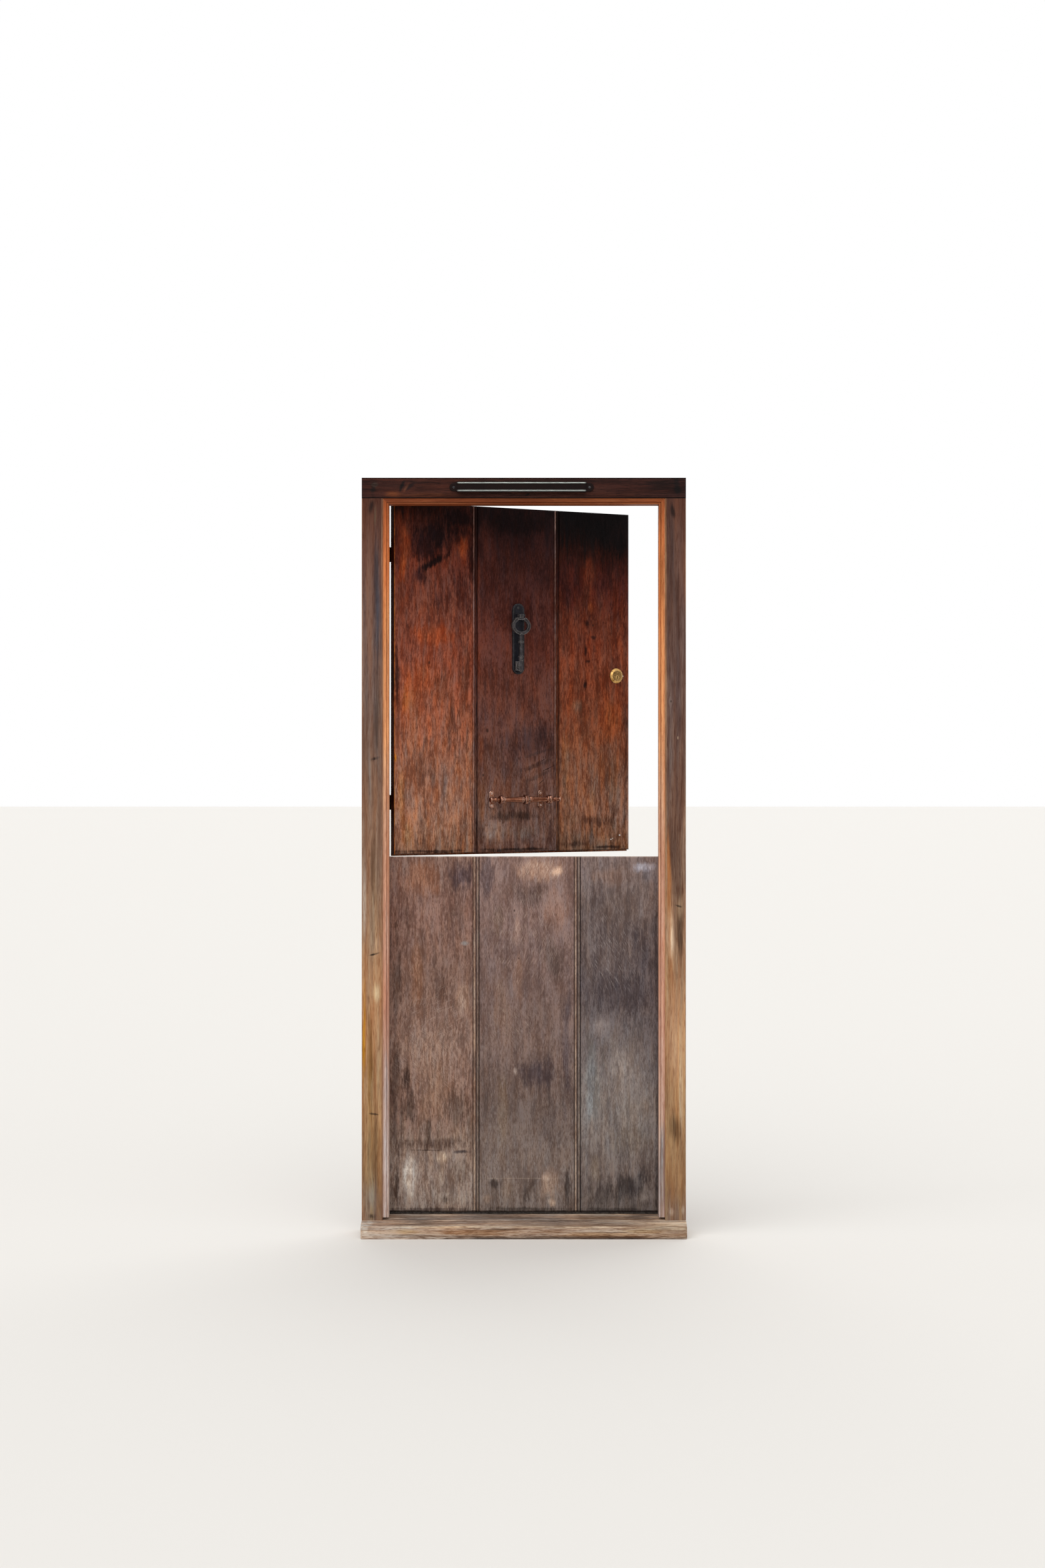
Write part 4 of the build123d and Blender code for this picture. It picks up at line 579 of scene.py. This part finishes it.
# A thin painted highlight along the top arris, and a darker line along the foot.
lower_strips += [(across, 1037.4, 0.8, "#cbb6a8", 0.8), (across, 58.5, 2.6, "#2a211d", 0.7)]
paint("lower_board_left", timber(
    "weathered_oak_lower_left", [
        (57, "#9c8c80"), (150, "#a69488"), (240, "#a08c7e"), (340, "#96796b"), (530, "#a08476"),
        (720, "#8e7164"), (900, "#97766a"), (1038, "#93766a")],
    seed=43, depth=0.44, warm="#a09490", hue=0.25, figure=0.1, pith=(-260, -80, 1.0),
    patches=(
        (-285, 985, 60, 50, "#ac7c62", 0.8), (-172, 985, 34, 44, "#645458", 0.85),
        (-180, 880, 30, 70, "#846a60", 0.6), (-330, 860, 26, 90, "#84665a", 0.6),
        (-163, 798, 14, 7, "#a09c98", 0.8), (-168, 650, 20, 46, "#b89c8a", 0.8),
        (-294, 711, 16, 90, "#ae8266", 0.7), (-230, 690, 16, 60, "#6e5850", 0.6),
        (-350, 700, 14, 110, "#64524a", 0.6), (-270, 510, 80, 70, "#ab8f7e", 0.6),
        (-250, 400, 46, 74, "#a88872", 0.6), (-326, 424, 14, 36, "#4e3c34", 0.85),
        (-352, 400, 14, 150, "#5e4c44", 0.7), (-316, 345, 20, 40, "#55443c", 0.8),
        (-180, 350, 34, 50, "#705c50", 0.7), (-262, 285, 8, 40, "#5a4a40", 0.7),
        (-240, 250, 90, 16, "#665248", 0.7), (-315, 152, 20, 66, "#ece4d8", 0.95),
        (-226, 207, 14, 18, "#e6d2ba", 0.95), (-232, 150, 10, 40, "#c6b4a2", 0.8),
        (-172, 222, 20, 5, "#4e4444", 0.9), (-268, 227, 50, 1.6, "#3e302a", 0.75),
        (-176, 165, 26, 40, "#8c7c70", 0.6), (-352, 130, 12, 60, "#5a4c44", 0.8),
        (-205, 92, 50, 22, "#b4a89c", 0.7), (-218, 88, 8, 10, "#584a42", 0.7),
        (-260, 63, 110, 6, "#5a4c46", 0.8)),
    strips=lower_strips,
    scuffs=(
        (20, 0.5, "#c8b2a4", -260, 560, 130, 130), (-50, 0.4, "#c8b2a4", -260, 470, 130, 130),
        (62, 0.35, "#ccb8aa", -250, 600, 110, 100), (4, 0.35, "#c0a692", -260, 900, 130, 140)),
    gloss=0.66, inner=inner_stain))
paint("lower_board_middle", timber(
    "weathered_oak_lower_middle", [
        (57, "#857870"), (150, "#8e8078"), (340, "#7b6b64"), (530, "#867169"), (720, "#86706a"),
        (900, "#8f766f"), (1038, "#967c74")],
    seed=47, depth=0.5, warm="#a09692", hue=0.2, figure=0.14, pith=(20, -60, 1.4),
    knots=((-26, 889, 3), (-14, 757, 2.5)),
    patches=(
        (40, 1000, 60, 34, "#c8a48e", 0.75), (92, 996, 16, 15, "#f0cdb4", 0.95),
        (-100, 980, 22, 60, "#6e6064", 0.7), (20, 930, 60, 30, "#6a5650", 0.7),
        (-17, 835, 10, 48, "#b09488", 0.85), (-70, 860, 18, 40, "#8a7468", 0.6),
        (90, 880, 30, 60, "#a88474", 0.6), (-14, 700, 12, 60, "#aa8a7a", 0.6),
        (80, 760, 30, 50, "#6c5c56", 0.6), (-60, 610, 26, 90, "#9c8070", 0.6),
        (60, 600, 40, 70, "#7a665e", 0.6), (-25, 442, 7, 12, "#c0b0a6", 0.9),
        (36, 436, 60, 40, "#564a4e", 0.8), (120, 520, 14, 180, "#5c5054", 0.7),
        (-60, 340, 16, 110, "#94806e", 0.6), (70, 300, 26, 90, "#645652", 0.6),
        (-5, 149, 108, 1.6, "#b0a294", 0.8), (70, 132, 27, 44, "#b29a88", 0.8),
        (62, 150, 14, 10, "#ccb6a4", 0.9), (76, 82, 16, 12, "#ccb6a2", 0.9),
        (-81, 135, 14, 14, "#443a36", 0.85), (-48, 112, 18, 44, "#9a887a", 0.8),
        (-103, 92, 12, 14, "#a89484", 0.8), (14, 110, 16, 40, "#544842", 0.8),
        (122, 130, 10, 60, "#4a403c", 0.8), (0, 63, 130, 6, "#4c423c", 0.8)),
    strips=lower_strips,
    scuffs=(
        (24, 1.0, "#f0d4c0", 50, 1000, 80, 40), (24, 0.5, "#c4ac9c", 0, 800, 150, 200),
        (-20, 0.5, "#c4ac9c", 0, 880, 150, 120), (-42, 0.5, "#c4b0a0", -40, 580, 90, 60)),
    gloss=0.66, inner=inner_stain))
paint("lower_board_right", timber(
    "weathered_oak_lower_right", [
        (57, "#6e645e"), (150, "#7c6f69"), (340, "#8e847e"), (530, "#7a706e"), (680, "#6c605f"),
        (900, "#7e6e68"), (1038, "#8b7974")],
    seed=53, depth=0.5, warm="#a09a99", hue=0.2, figure=0.1, pith=(270, -80, 1.0),
    patches=(
        (333, 1008, 34, 14, "#c2bcc2", 0.95), (350, 985, 24, 20, "#8e8688", 0.7),
        (240, 985, 50, 30, "#987c6e", 0.7), (330, 900, 30, 60, "#94847e", 0.6),
        (200, 880, 30, 90, "#6c5e5c", 0.6), (270, 650, 100, 60, "#544a4c", 0.8),
        (330, 760, 40, 90, "#5c5254", 0.7), (190, 412, 26, 100, "#929290", 0.7),
        (278, 460, 46, 80, "#a3978f", 0.7), (216, 560, 40, 30, "#9a8e8a", 0.6),
        (372, 500, 9, 420, "#463e3e", 0.8), (300, 330, 50, 60, "#9a8e84", 0.6),
        (183, 349, 16, 40, "#9c9b98", 0.7), (196, 180, 12, 34, "#9c8c7c", 0.7),
        (290, 250, 50, 40, "#8c8074", 0.5), (300, 130, 66, 38, "#423b3a", 0.8),
        (345, 104, 22, 20, "#8e847e", 0.7), (225, 110, 30, 40, "#524844", 0.7),
        (270, 63, 110, 6, "#443c38", 0.8)),
    strips=lower_strips,
    scuffs=((-28, 0.6, "#b4a8a4", 250, 780, 120, 150), (20, 0.4, "#b4a8a2", 260, 420, 120, 160)),
    gloss=0.66, inner=inner_stain))


# Ledges and braces: the same oak on the room side, stained once and never weathered, so
# it is an even warm brown. Ledges lie across their leaf and each brace leans in it.
ledge_tones = [(-400, "#94623f"), (400, "#8c5a3c")]
brace_tones = [(-2000, "#8c5a3c"), (2000, "#94623f")]
level_lean, lower_lean, upper_lean = 90, 44, 68
for name, seed, lean, turn, tones in (
        ("lower_ledge_top", 61, level_lean, Matrix(), ledge_tones),
        ("lower_ledge_low", 62, level_lean, Matrix(), ledge_tones),
        ("upper_ledge_top", 67, level_lean, shut, ledge_tones),
        ("upper_ledge_low", 68, level_lean, shut, ledge_tones),
        ("upper_ledge_lock", 69, level_lean, shut, ledge_tones),
        ("lower_brace", 117, lower_lean, Matrix(), brace_tones),
        ("upper_brace_low", 141, upper_lean, shut, brace_tones),
        ("upper_brace_top", 141, upper_lean, shut, brace_tones)):
    laid = Matrix.Rotation(radians(-lean), 4, "Y") @ turn
    paint(name, timber(
        "stained_oak_" + name, tones, seed=seed, at=tuple(laid.translation),
        lie=tuple(laid.to_euler()), depth=0.6, long=2.0, fleck=1.7, hue=0.25, figure=0.2,
        gloss=0.5))


# Strap hinges, barrel bolts, keeps and knocker: hand-forged iron, painted black. The paint is
# satin and uneven, with hammered dents and grey high spots. Hands have worn the knocker's
# key nearly to bare grey iron. Pale edges on the iron and the key are partly wear and partly
# painted highlight. Pins and bolt rods are bright zinc-plated steel.
black_iron = dressed(
    "black_painted_iron", "#131318", "#24242c", 16, (0.5, 0.32), bumps=0.25,
    rub=("#403c3c", 0.4), fine=5.0, shine=0.15, edge=("#8c8884", 0.8, 1.0))
for name in (
        "upper_hinge_plate_top", "upper_hinge_plate_low", "lower_hinge_plate_top",
        "lower_hinge_plate_low", "upper_strap_top", "upper_strap_low", "lower_strap_top",
        "lower_strap_low", "side_bolt_body", "side_bolt_keep", "meeting_bolt_body",
        "meeting_bolt_keep", "knocker_plate", "knocker_pin"):
    paint(name, black_iron)
paint("knocker_key", dressed(
    "hand_worn_black_iron_painted_highlights", "#262425", "#454244", 9, (0.45, 0.3), metallic=0.3, bumps=0.2,
    rub=("#6a6564", 0.5), fine=4.0, shine=0.2, edge=("#b4aeaa", 1.0, 1.4)))
plated_steel = dressed(
    "zinc_plated_steel", "#8f9092", "#bcbcbb", 10, (0.42, 0.26), metallic=1.0, bumps=0.03)
for name in ("hinge_pins", "side_bolt", "meeting_bolt"):
    paint(name, plated_steel)


# Trickle vent: an aluminium hood outside in thin black lacquer, with painted highlights drawn
# as bright metal along both rounded rims, and a white moulded grille with its slide inside.
hood_low, hood_high = (1000 * corner[2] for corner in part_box("vent_hood"))
hood_middle, rims_end, rims_gone = -6.0, 172 * mm, 178 * mm
lacquer, tree = blank("black_lacquer_with_painted_rim_highlights")
here = add(tree, "TexCoord", out="Object")
cloud = add(tree, "TexNoise", {"Vector": here, "Scale": 60.0, "Detail": 4.0})
rim_streak_space = add(tree, "Mapping", {"Vector": here, "Scale": (60, 900, 900)})
streak = add(tree, "TexNoise", {"Vector": rim_streak_space, "Scale": 1.0, "Detail": 3.0})
colour = add(tree, "Mix", {"Factor": cloud, mix_a: linear("#0d0607"),
                           mix_b: linear("#20120f")}, **colours)
painted_rim_highlight = 0.0
# Painted highlights along the two rims, broken into streaks and drawn as bright metal.
for place, half, amount in ((hood_high - 3.0, 1.7, 1.5), (hood_low + 4.6, 2.0, 1.1)):
    worn = add(tree, "Math", {0: streak, 1: amount}, operation="MULTIPLY")
    rim = add(tree, "MapRange", {
        "Value": from_line(tree, here, "Z", place), "From Min": half * mm * 0.5,
        "From Max": half * mm * 1.3, "To Min": worn, "To Max": 0.0})
    painted_rim_highlight = add(tree, "Math", {0: rim, 1: painted_rim_highlight}, operation="MAXIMUM")
side = add(tree, "MapRange", {
    "Value": from_line(tree, here, "X", hood_middle), "From Min": rims_end,
    "From Max": rims_gone, "To Min": 1.0, "To Max": 0.0})
painted_rim_highlight = add(tree, "Math", {0: painted_rim_highlight, 1: side}, operation="MULTIPLY")
colour = add(tree, "Mix", {"Factor": painted_rim_highlight, mix_a: colour, mix_b: linear("#a9b0aa")}, **colours)
rough = add(tree, "MapRange", {"Value": cloud, "From Min": 0.3, "From Max": 0.7,
                               "To Min": 0.34, "To Max": 0.2})
shader = add(tree, "BsdfPrincipled", {"Base Color": colour, "Roughness": rough,
                                      "Metallic": painted_rim_highlight, "Specular IOR Level": 0.08})
add(tree, "OutputMaterial", {"Surface": shader})
paint("vent_hood", lacquer)
white_plastic = dressed("moulded_white_plastic", "#dcdad2", "#e9e7e0", 60, (0.4, 0.3), bumps=0.02)
paint("vent_grille", white_plastic)
paint("vent_shutter", white_plastic)


# Pull handle: turned and cast bronze, lacquered, gone the pinkish brown of old copper. Its
# beads and caps carry painted highlights, and the hollows between them are nearly black.
bronze = dressed(
    "lacquered_bronze", "#6f4230", "#966650", 12, (0.36, 0.2), metallic=1.0, bumps=0.04,
    rub=("#5a3222", 0.5), edge=("#ffe6d8", 1.3, 1.5), grime=("#200d08", 0.9))
for name in ("handle_bar", "handle_post_left", "handle_post_right"):
    paint(name, bronze)


# Rim cylinder and latch: brass outside, bright on its rim with painted highlights along its
# edges and tarnished brown on its face, with the plug rubbed by the key. The latch case and its
# keep are pressed steel in smooth brown baked enamel, with brass knob, slide and bolt.
brass = dressed(
    "worn_brass_painted_highlights", "#b98a4a", "#d8b070", 8, (0.36, 0.2), metallic=1.0, bumps=0.04,
    rub=("#8a6232", 0.35), edge=("#f6e2b0", 0.9, 0.6), grime=("#3c260e", 0.7))
for name in ("cylinder_rose", "latch_bolt", "latch_knob", "latch_snib"):
    paint(name, brass)
paint("cylinder_body", dressed(
    "tarnished_brass", "#5e4828", "#94744a", 3, (0.45, 0.3), metallic=1.0, bumps=0.1,
    rub=("#3c2a14", 0.6)))
paint("cylinder_plug", dressed(
    "key_worn_brass", "#84663c", "#b4925e", 3, (0.4, 0.26), metallic=1.0, bumps=0.06))
enamel = dressed("brown_baked_enamel", "#3a281c", "#463123", 40, (0.36, 0.28), bumps=0.05)
for name in ("latch_case", "latch_keep"):
    paint(name, enamel)


# Screws: countersunk and slotted, in bronze on the handle and in black iron on the knocker,
# the hinges and the bolts. Each stands in its own countersink, its slot at its own angle.
def screw_spots(node, turn):
    """Centre, radius and facing of each screw of a CAD node, in the shut leaf's frame."""
    mesh = bmesh.new()
    mesh.from_mesh(nodes[node].data)
    mesh.transform(turn)
    bmesh.ops.remove_doubles(mesh, verts=mesh.verts, dist=1e-6)
    left, spots = set(mesh.verts), []
    while left:
        group, edge = set(), [left.pop()]
        while edge:
            vert = edge.pop()
            group.add(vert)
            for link in vert.link_edges:
                other = link.other_vert(vert)
                if other in left:
                    left.remove(other)
                    edge.append(other)
        lows = [min(v.co[i] for v in group) for i in range(3)]
        highs = [max(v.co[i] for v in group) for i in range(3)]
        middle = [(low + high) / 2 for low, high in zip(lows, highs)]
        widest = max(group, key=lambda v: abs(v.co.x - middle[0]))
        facing = 1 if widest.co.y > middle[1] else -1
        face_y = highs[1] if facing > 0 else lows[1]
        spots.append((Vector((middle[0], face_y, middle[2])), (highs[0] - lows[0]) / 2, facing))
    mesh.free()
    return sorted(spots, key=lambda s: (round(s[0].z, 4), round(s[0].x, 4)))


def slotted_head(radius):
    """A countersunk head with a saw-cut slot along X, its face up and flush at the origin."""
    head = bmesh.new()
    deep, dish, slot_half, slot_deep = radius * 0.58, radius * 0.05, radius * 0.13, radius * 0.26
    bmesh.ops.create_cone(head, cap_ends=True, segments=24, radius1=radius * 0.52,
                          radius2=radius * 0.985, depth=deep)
    bmesh.ops.translate(head, verts=head.verts, vec=(0, 0, -deep / 2))
    top = max(head.faces, key=lambda face: face.calc_center_median().z)
    bmesh.ops.inset_region(head, faces=[top], thickness=radius * 0.1, depth=dish)
    faces = [top]
    for side in (-slot_half, slot_half):
        edges = {edge for face in faces for edge in face.edges}
        verts = {vert for face in faces for vert in face.verts}
        cut = bmesh.ops.bisect_plane(head, geom=[*faces, *edges, *verts],
                                     plane_co=(0, side, 0), plane_no=(0, 1, 0))
        faces = [g for g in cut["geom"] if isinstance(g, bmesh.types.BMFace)]
    slot = [face for face in faces if abs(face.calc_center_median().y) < slot_half]
    dug = bmesh.ops.extrude_face_region(head, geom=slot)
    floor = [g for g in dug["geom"] if isinstance(g, bmesh.types.BMVert)]
    bmesh.ops.translate(head, verts=floor, vec=(0, 0, -slot_deep))
    bmesh.ops.delete(head, geom=slot, context="FACES")
    return head


def screw_piece(name, heads, turn, material, body, node=None):
    """Joins heads, each a centre, radius, facing and angle in the shut leaf, into one piece."""
    whole = bmesh.new()
    for centre, radius, facing, angle in heads:
        head = slotted_head(radius)
        aim = Matrix.Rotation(-facing * pi / 2, 4, "X") @ Matrix.Rotation(angle, 4, "Z")
        head.transform(turn.inverted() @ Matrix.Translation(centre) @ aim)
        part = bpy.data.meshes.new("part")
        head.to_mesh(part)
        head.free()
        whole.from_mesh(part)
        bpy.data.meshes.remove(part)
    bmesh.ops.recalc_face_normals(whole, faces=whole.faces)
    mesh = bpy.data.meshes.new(name)
    whole.to_mesh(mesh)
    whole.free()
    mesh.materials.append(material)
    piece = bpy.data.objects.new(name, mesh)
    bpy.context.collection.objects.link(piece)
    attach(piece, body)
    if node:
        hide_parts(node)


metals = {"black_iron": black_iron, "bronze": bronze}
next_slot = 2.4  # radians from one screw's slot to the next, so that no two line up
all_heights, by_handle, by_knocker = (0.0, 2.1), (0.0, 1.4), (1.4, 2.1)  # metres
for name, node, body, slot, turn, (low, high) in (
        ("frame_slotted_screws", "frame_screws", "frame", "black_iron", Matrix(), all_heights),
        ("lower_slotted_screws", "lower_screws", "lower_leaf", "black_iron", Matrix(),
         all_heights),
        ("upper_slotted_screws", "upper_screws", "upper_leaf", "black_iron", shut, all_heights),
        ("handle_slotted_screws", "front_screws", "upper_leaf", "bronze", shut, by_handle),
        ("knocker_slotted_screws", "front_screws", "upper_leaf", "black_iron", shut,
         by_knocker)):
    spots = [spot for spot in screw_spots(node, turn) if low < spot[0].z < high]
    heads = [(*spot, number * next_slot) for number, spot in enumerate(spots)]
    screw_piece(name, heads, turn, metals[slot], body, node)


# Ledge screws: black iron, two rows through each ledge into every board, driven from the
# room side so that nothing shows outside.
ledge_face, head_radius, row_off = 47.6 * mm, 4 * mm, 38 * mm
room_side, first_slot, next_slot = 1, 1.1, 1.9
wide_row = (-330, -180, -70, 80, 195, 335)
lock_row = (-330, -180, -70, 80, 195, 270)
for name, body, turn, rows in (
        ("upper_ledge_screws", "upper_leaf", shut, (
            ("upper_ledge_top", wide_row), ("upper_ledge_low", wide_row),
            ("upper_ledge_lock", lock_row))),
        ("lower_ledge_screws", "lower_leaf", Matrix(), (
            ("lower_ledge_top", wide_row), ("lower_ledge_low", wide_row)))):
    heads = []
    for ledge, row in rows:
        low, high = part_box(ledge)
        middle = (low[2] + high[2]) / 2
        places = [(x * mm, middle + off) for x in row for off in (-row_off, row_off)]
        heads += [
            (Vector((x, ledge_face, z)), head_radius, room_side, first_slot + number * next_slot)
            for number, (x, z) in enumerate(places)]
    screw_piece(name, heads, turn, black_iron, body)


# Studio: a pale floor under the sill, an even white surround, one broad soft lamp high
# on the left, a weak one on the right and one that lights the room side.
floor_reach, ambient = 60, 0.5  # metres from the middle, and the light from all round
floor_mesh = bmesh.new()
bmesh.ops.create_grid(floor_mesh, x_segments=1, y_segments=1, size=floor_reach)
floor_data = bpy.data.meshes.new("studio_floor")
floor_mesh.to_mesh(floor_data)
floor_mesh.free()
floor = bpy.data.objects.new("studio_floor", floor_data)
bpy.context.collection.objects.link(floor)
pale, tree = blank("pale_studio_floor")
shader = add(tree, "BsdfPrincipled", {"Base Color": linear("#e6e3de"), "Roughness": 0.9})
add(tree, "OutputMaterial", {"Surface": shader})
floor_data.materials.append(pale)

surround = bpy.data.worlds.new("even_surround")
surround.use_nodes = True
bpy.context.scene.world = surround
tree = surround.node_tree
tree.nodes.clear()
seen = add(tree, "LightPath", out="Is Camera Ray")
glossy = add(tree, "LightPath", out="Is Glossy Ray")
through = add(tree, "LightPath", out="Is Transmission Ray")
shown = add(tree, "Math", {0: seen, 1: glossy}, operation="MAXIMUM")
shown = add(tree, "Math", {0: shown, 1: through}, operation="MAXIMUM")
level = add(tree, "MapRange", {"Value": shown, "To Min": ambient, "To Max": 1.0})
light = add(tree, "Background", {"Color": (1, 1, 1, 1), "Strength": level})
add(tree, "OutputWorld", {"Surface": light})

# Each lamp shines on the door from its place, with its strength and its spread in degrees.
for name, place, power, spread in (
        ("sky_lamp", (-1.6, -3.4, 4.6), 1.55, 70), ("fill_lamp", (3.5, -4.0, 1.5), 0.22, 60),
        ("room_lamp", (1.0, 4.0, 3.0), 1.0, 70)):
    data = bpy.data.lights.new(name, "SUN")
    data.energy, data.angle = power, radians(spread)
    lamp = bpy.data.objects.new(name, data)
    lamp.rotation_euler = (-Vector(place)).to_track_quat("-Z", "Y").to_euler()
    bpy.context.collection.objects.link(lamp)


# Camera: level, straight at the door from across the yard, as the photograph was taken.
# It was fitted to the corners of the frame, in the photo's pixels and in metres.
photo_wide, photo_tall = 1568, 2352
focal_px, centre_px, horizon_px = 3772.0, 785.99, 1136.0
distance, eye_height = 6.9475, 1.3125
view = bpy.data.cameras.new("yard_camera")
view.sensor_width = 36.0
view.lens = focal_px / photo_tall * view.sensor_width
view.shift_x = (photo_wide / 2 - centre_px) / photo_tall
view.shift_y = (horizon_px - photo_tall / 2) / photo_tall
camera = bpy.data.objects.new("yard_camera", view)
camera.location = (0, -distance, eye_height)
camera.rotation_euler = (pi / 2, 0, 0)
bpy.context.collection.objects.link(camera)
bpy.context.scene.camera = camera
bpy.context.scene.view_settings.view_transform = "Standard"
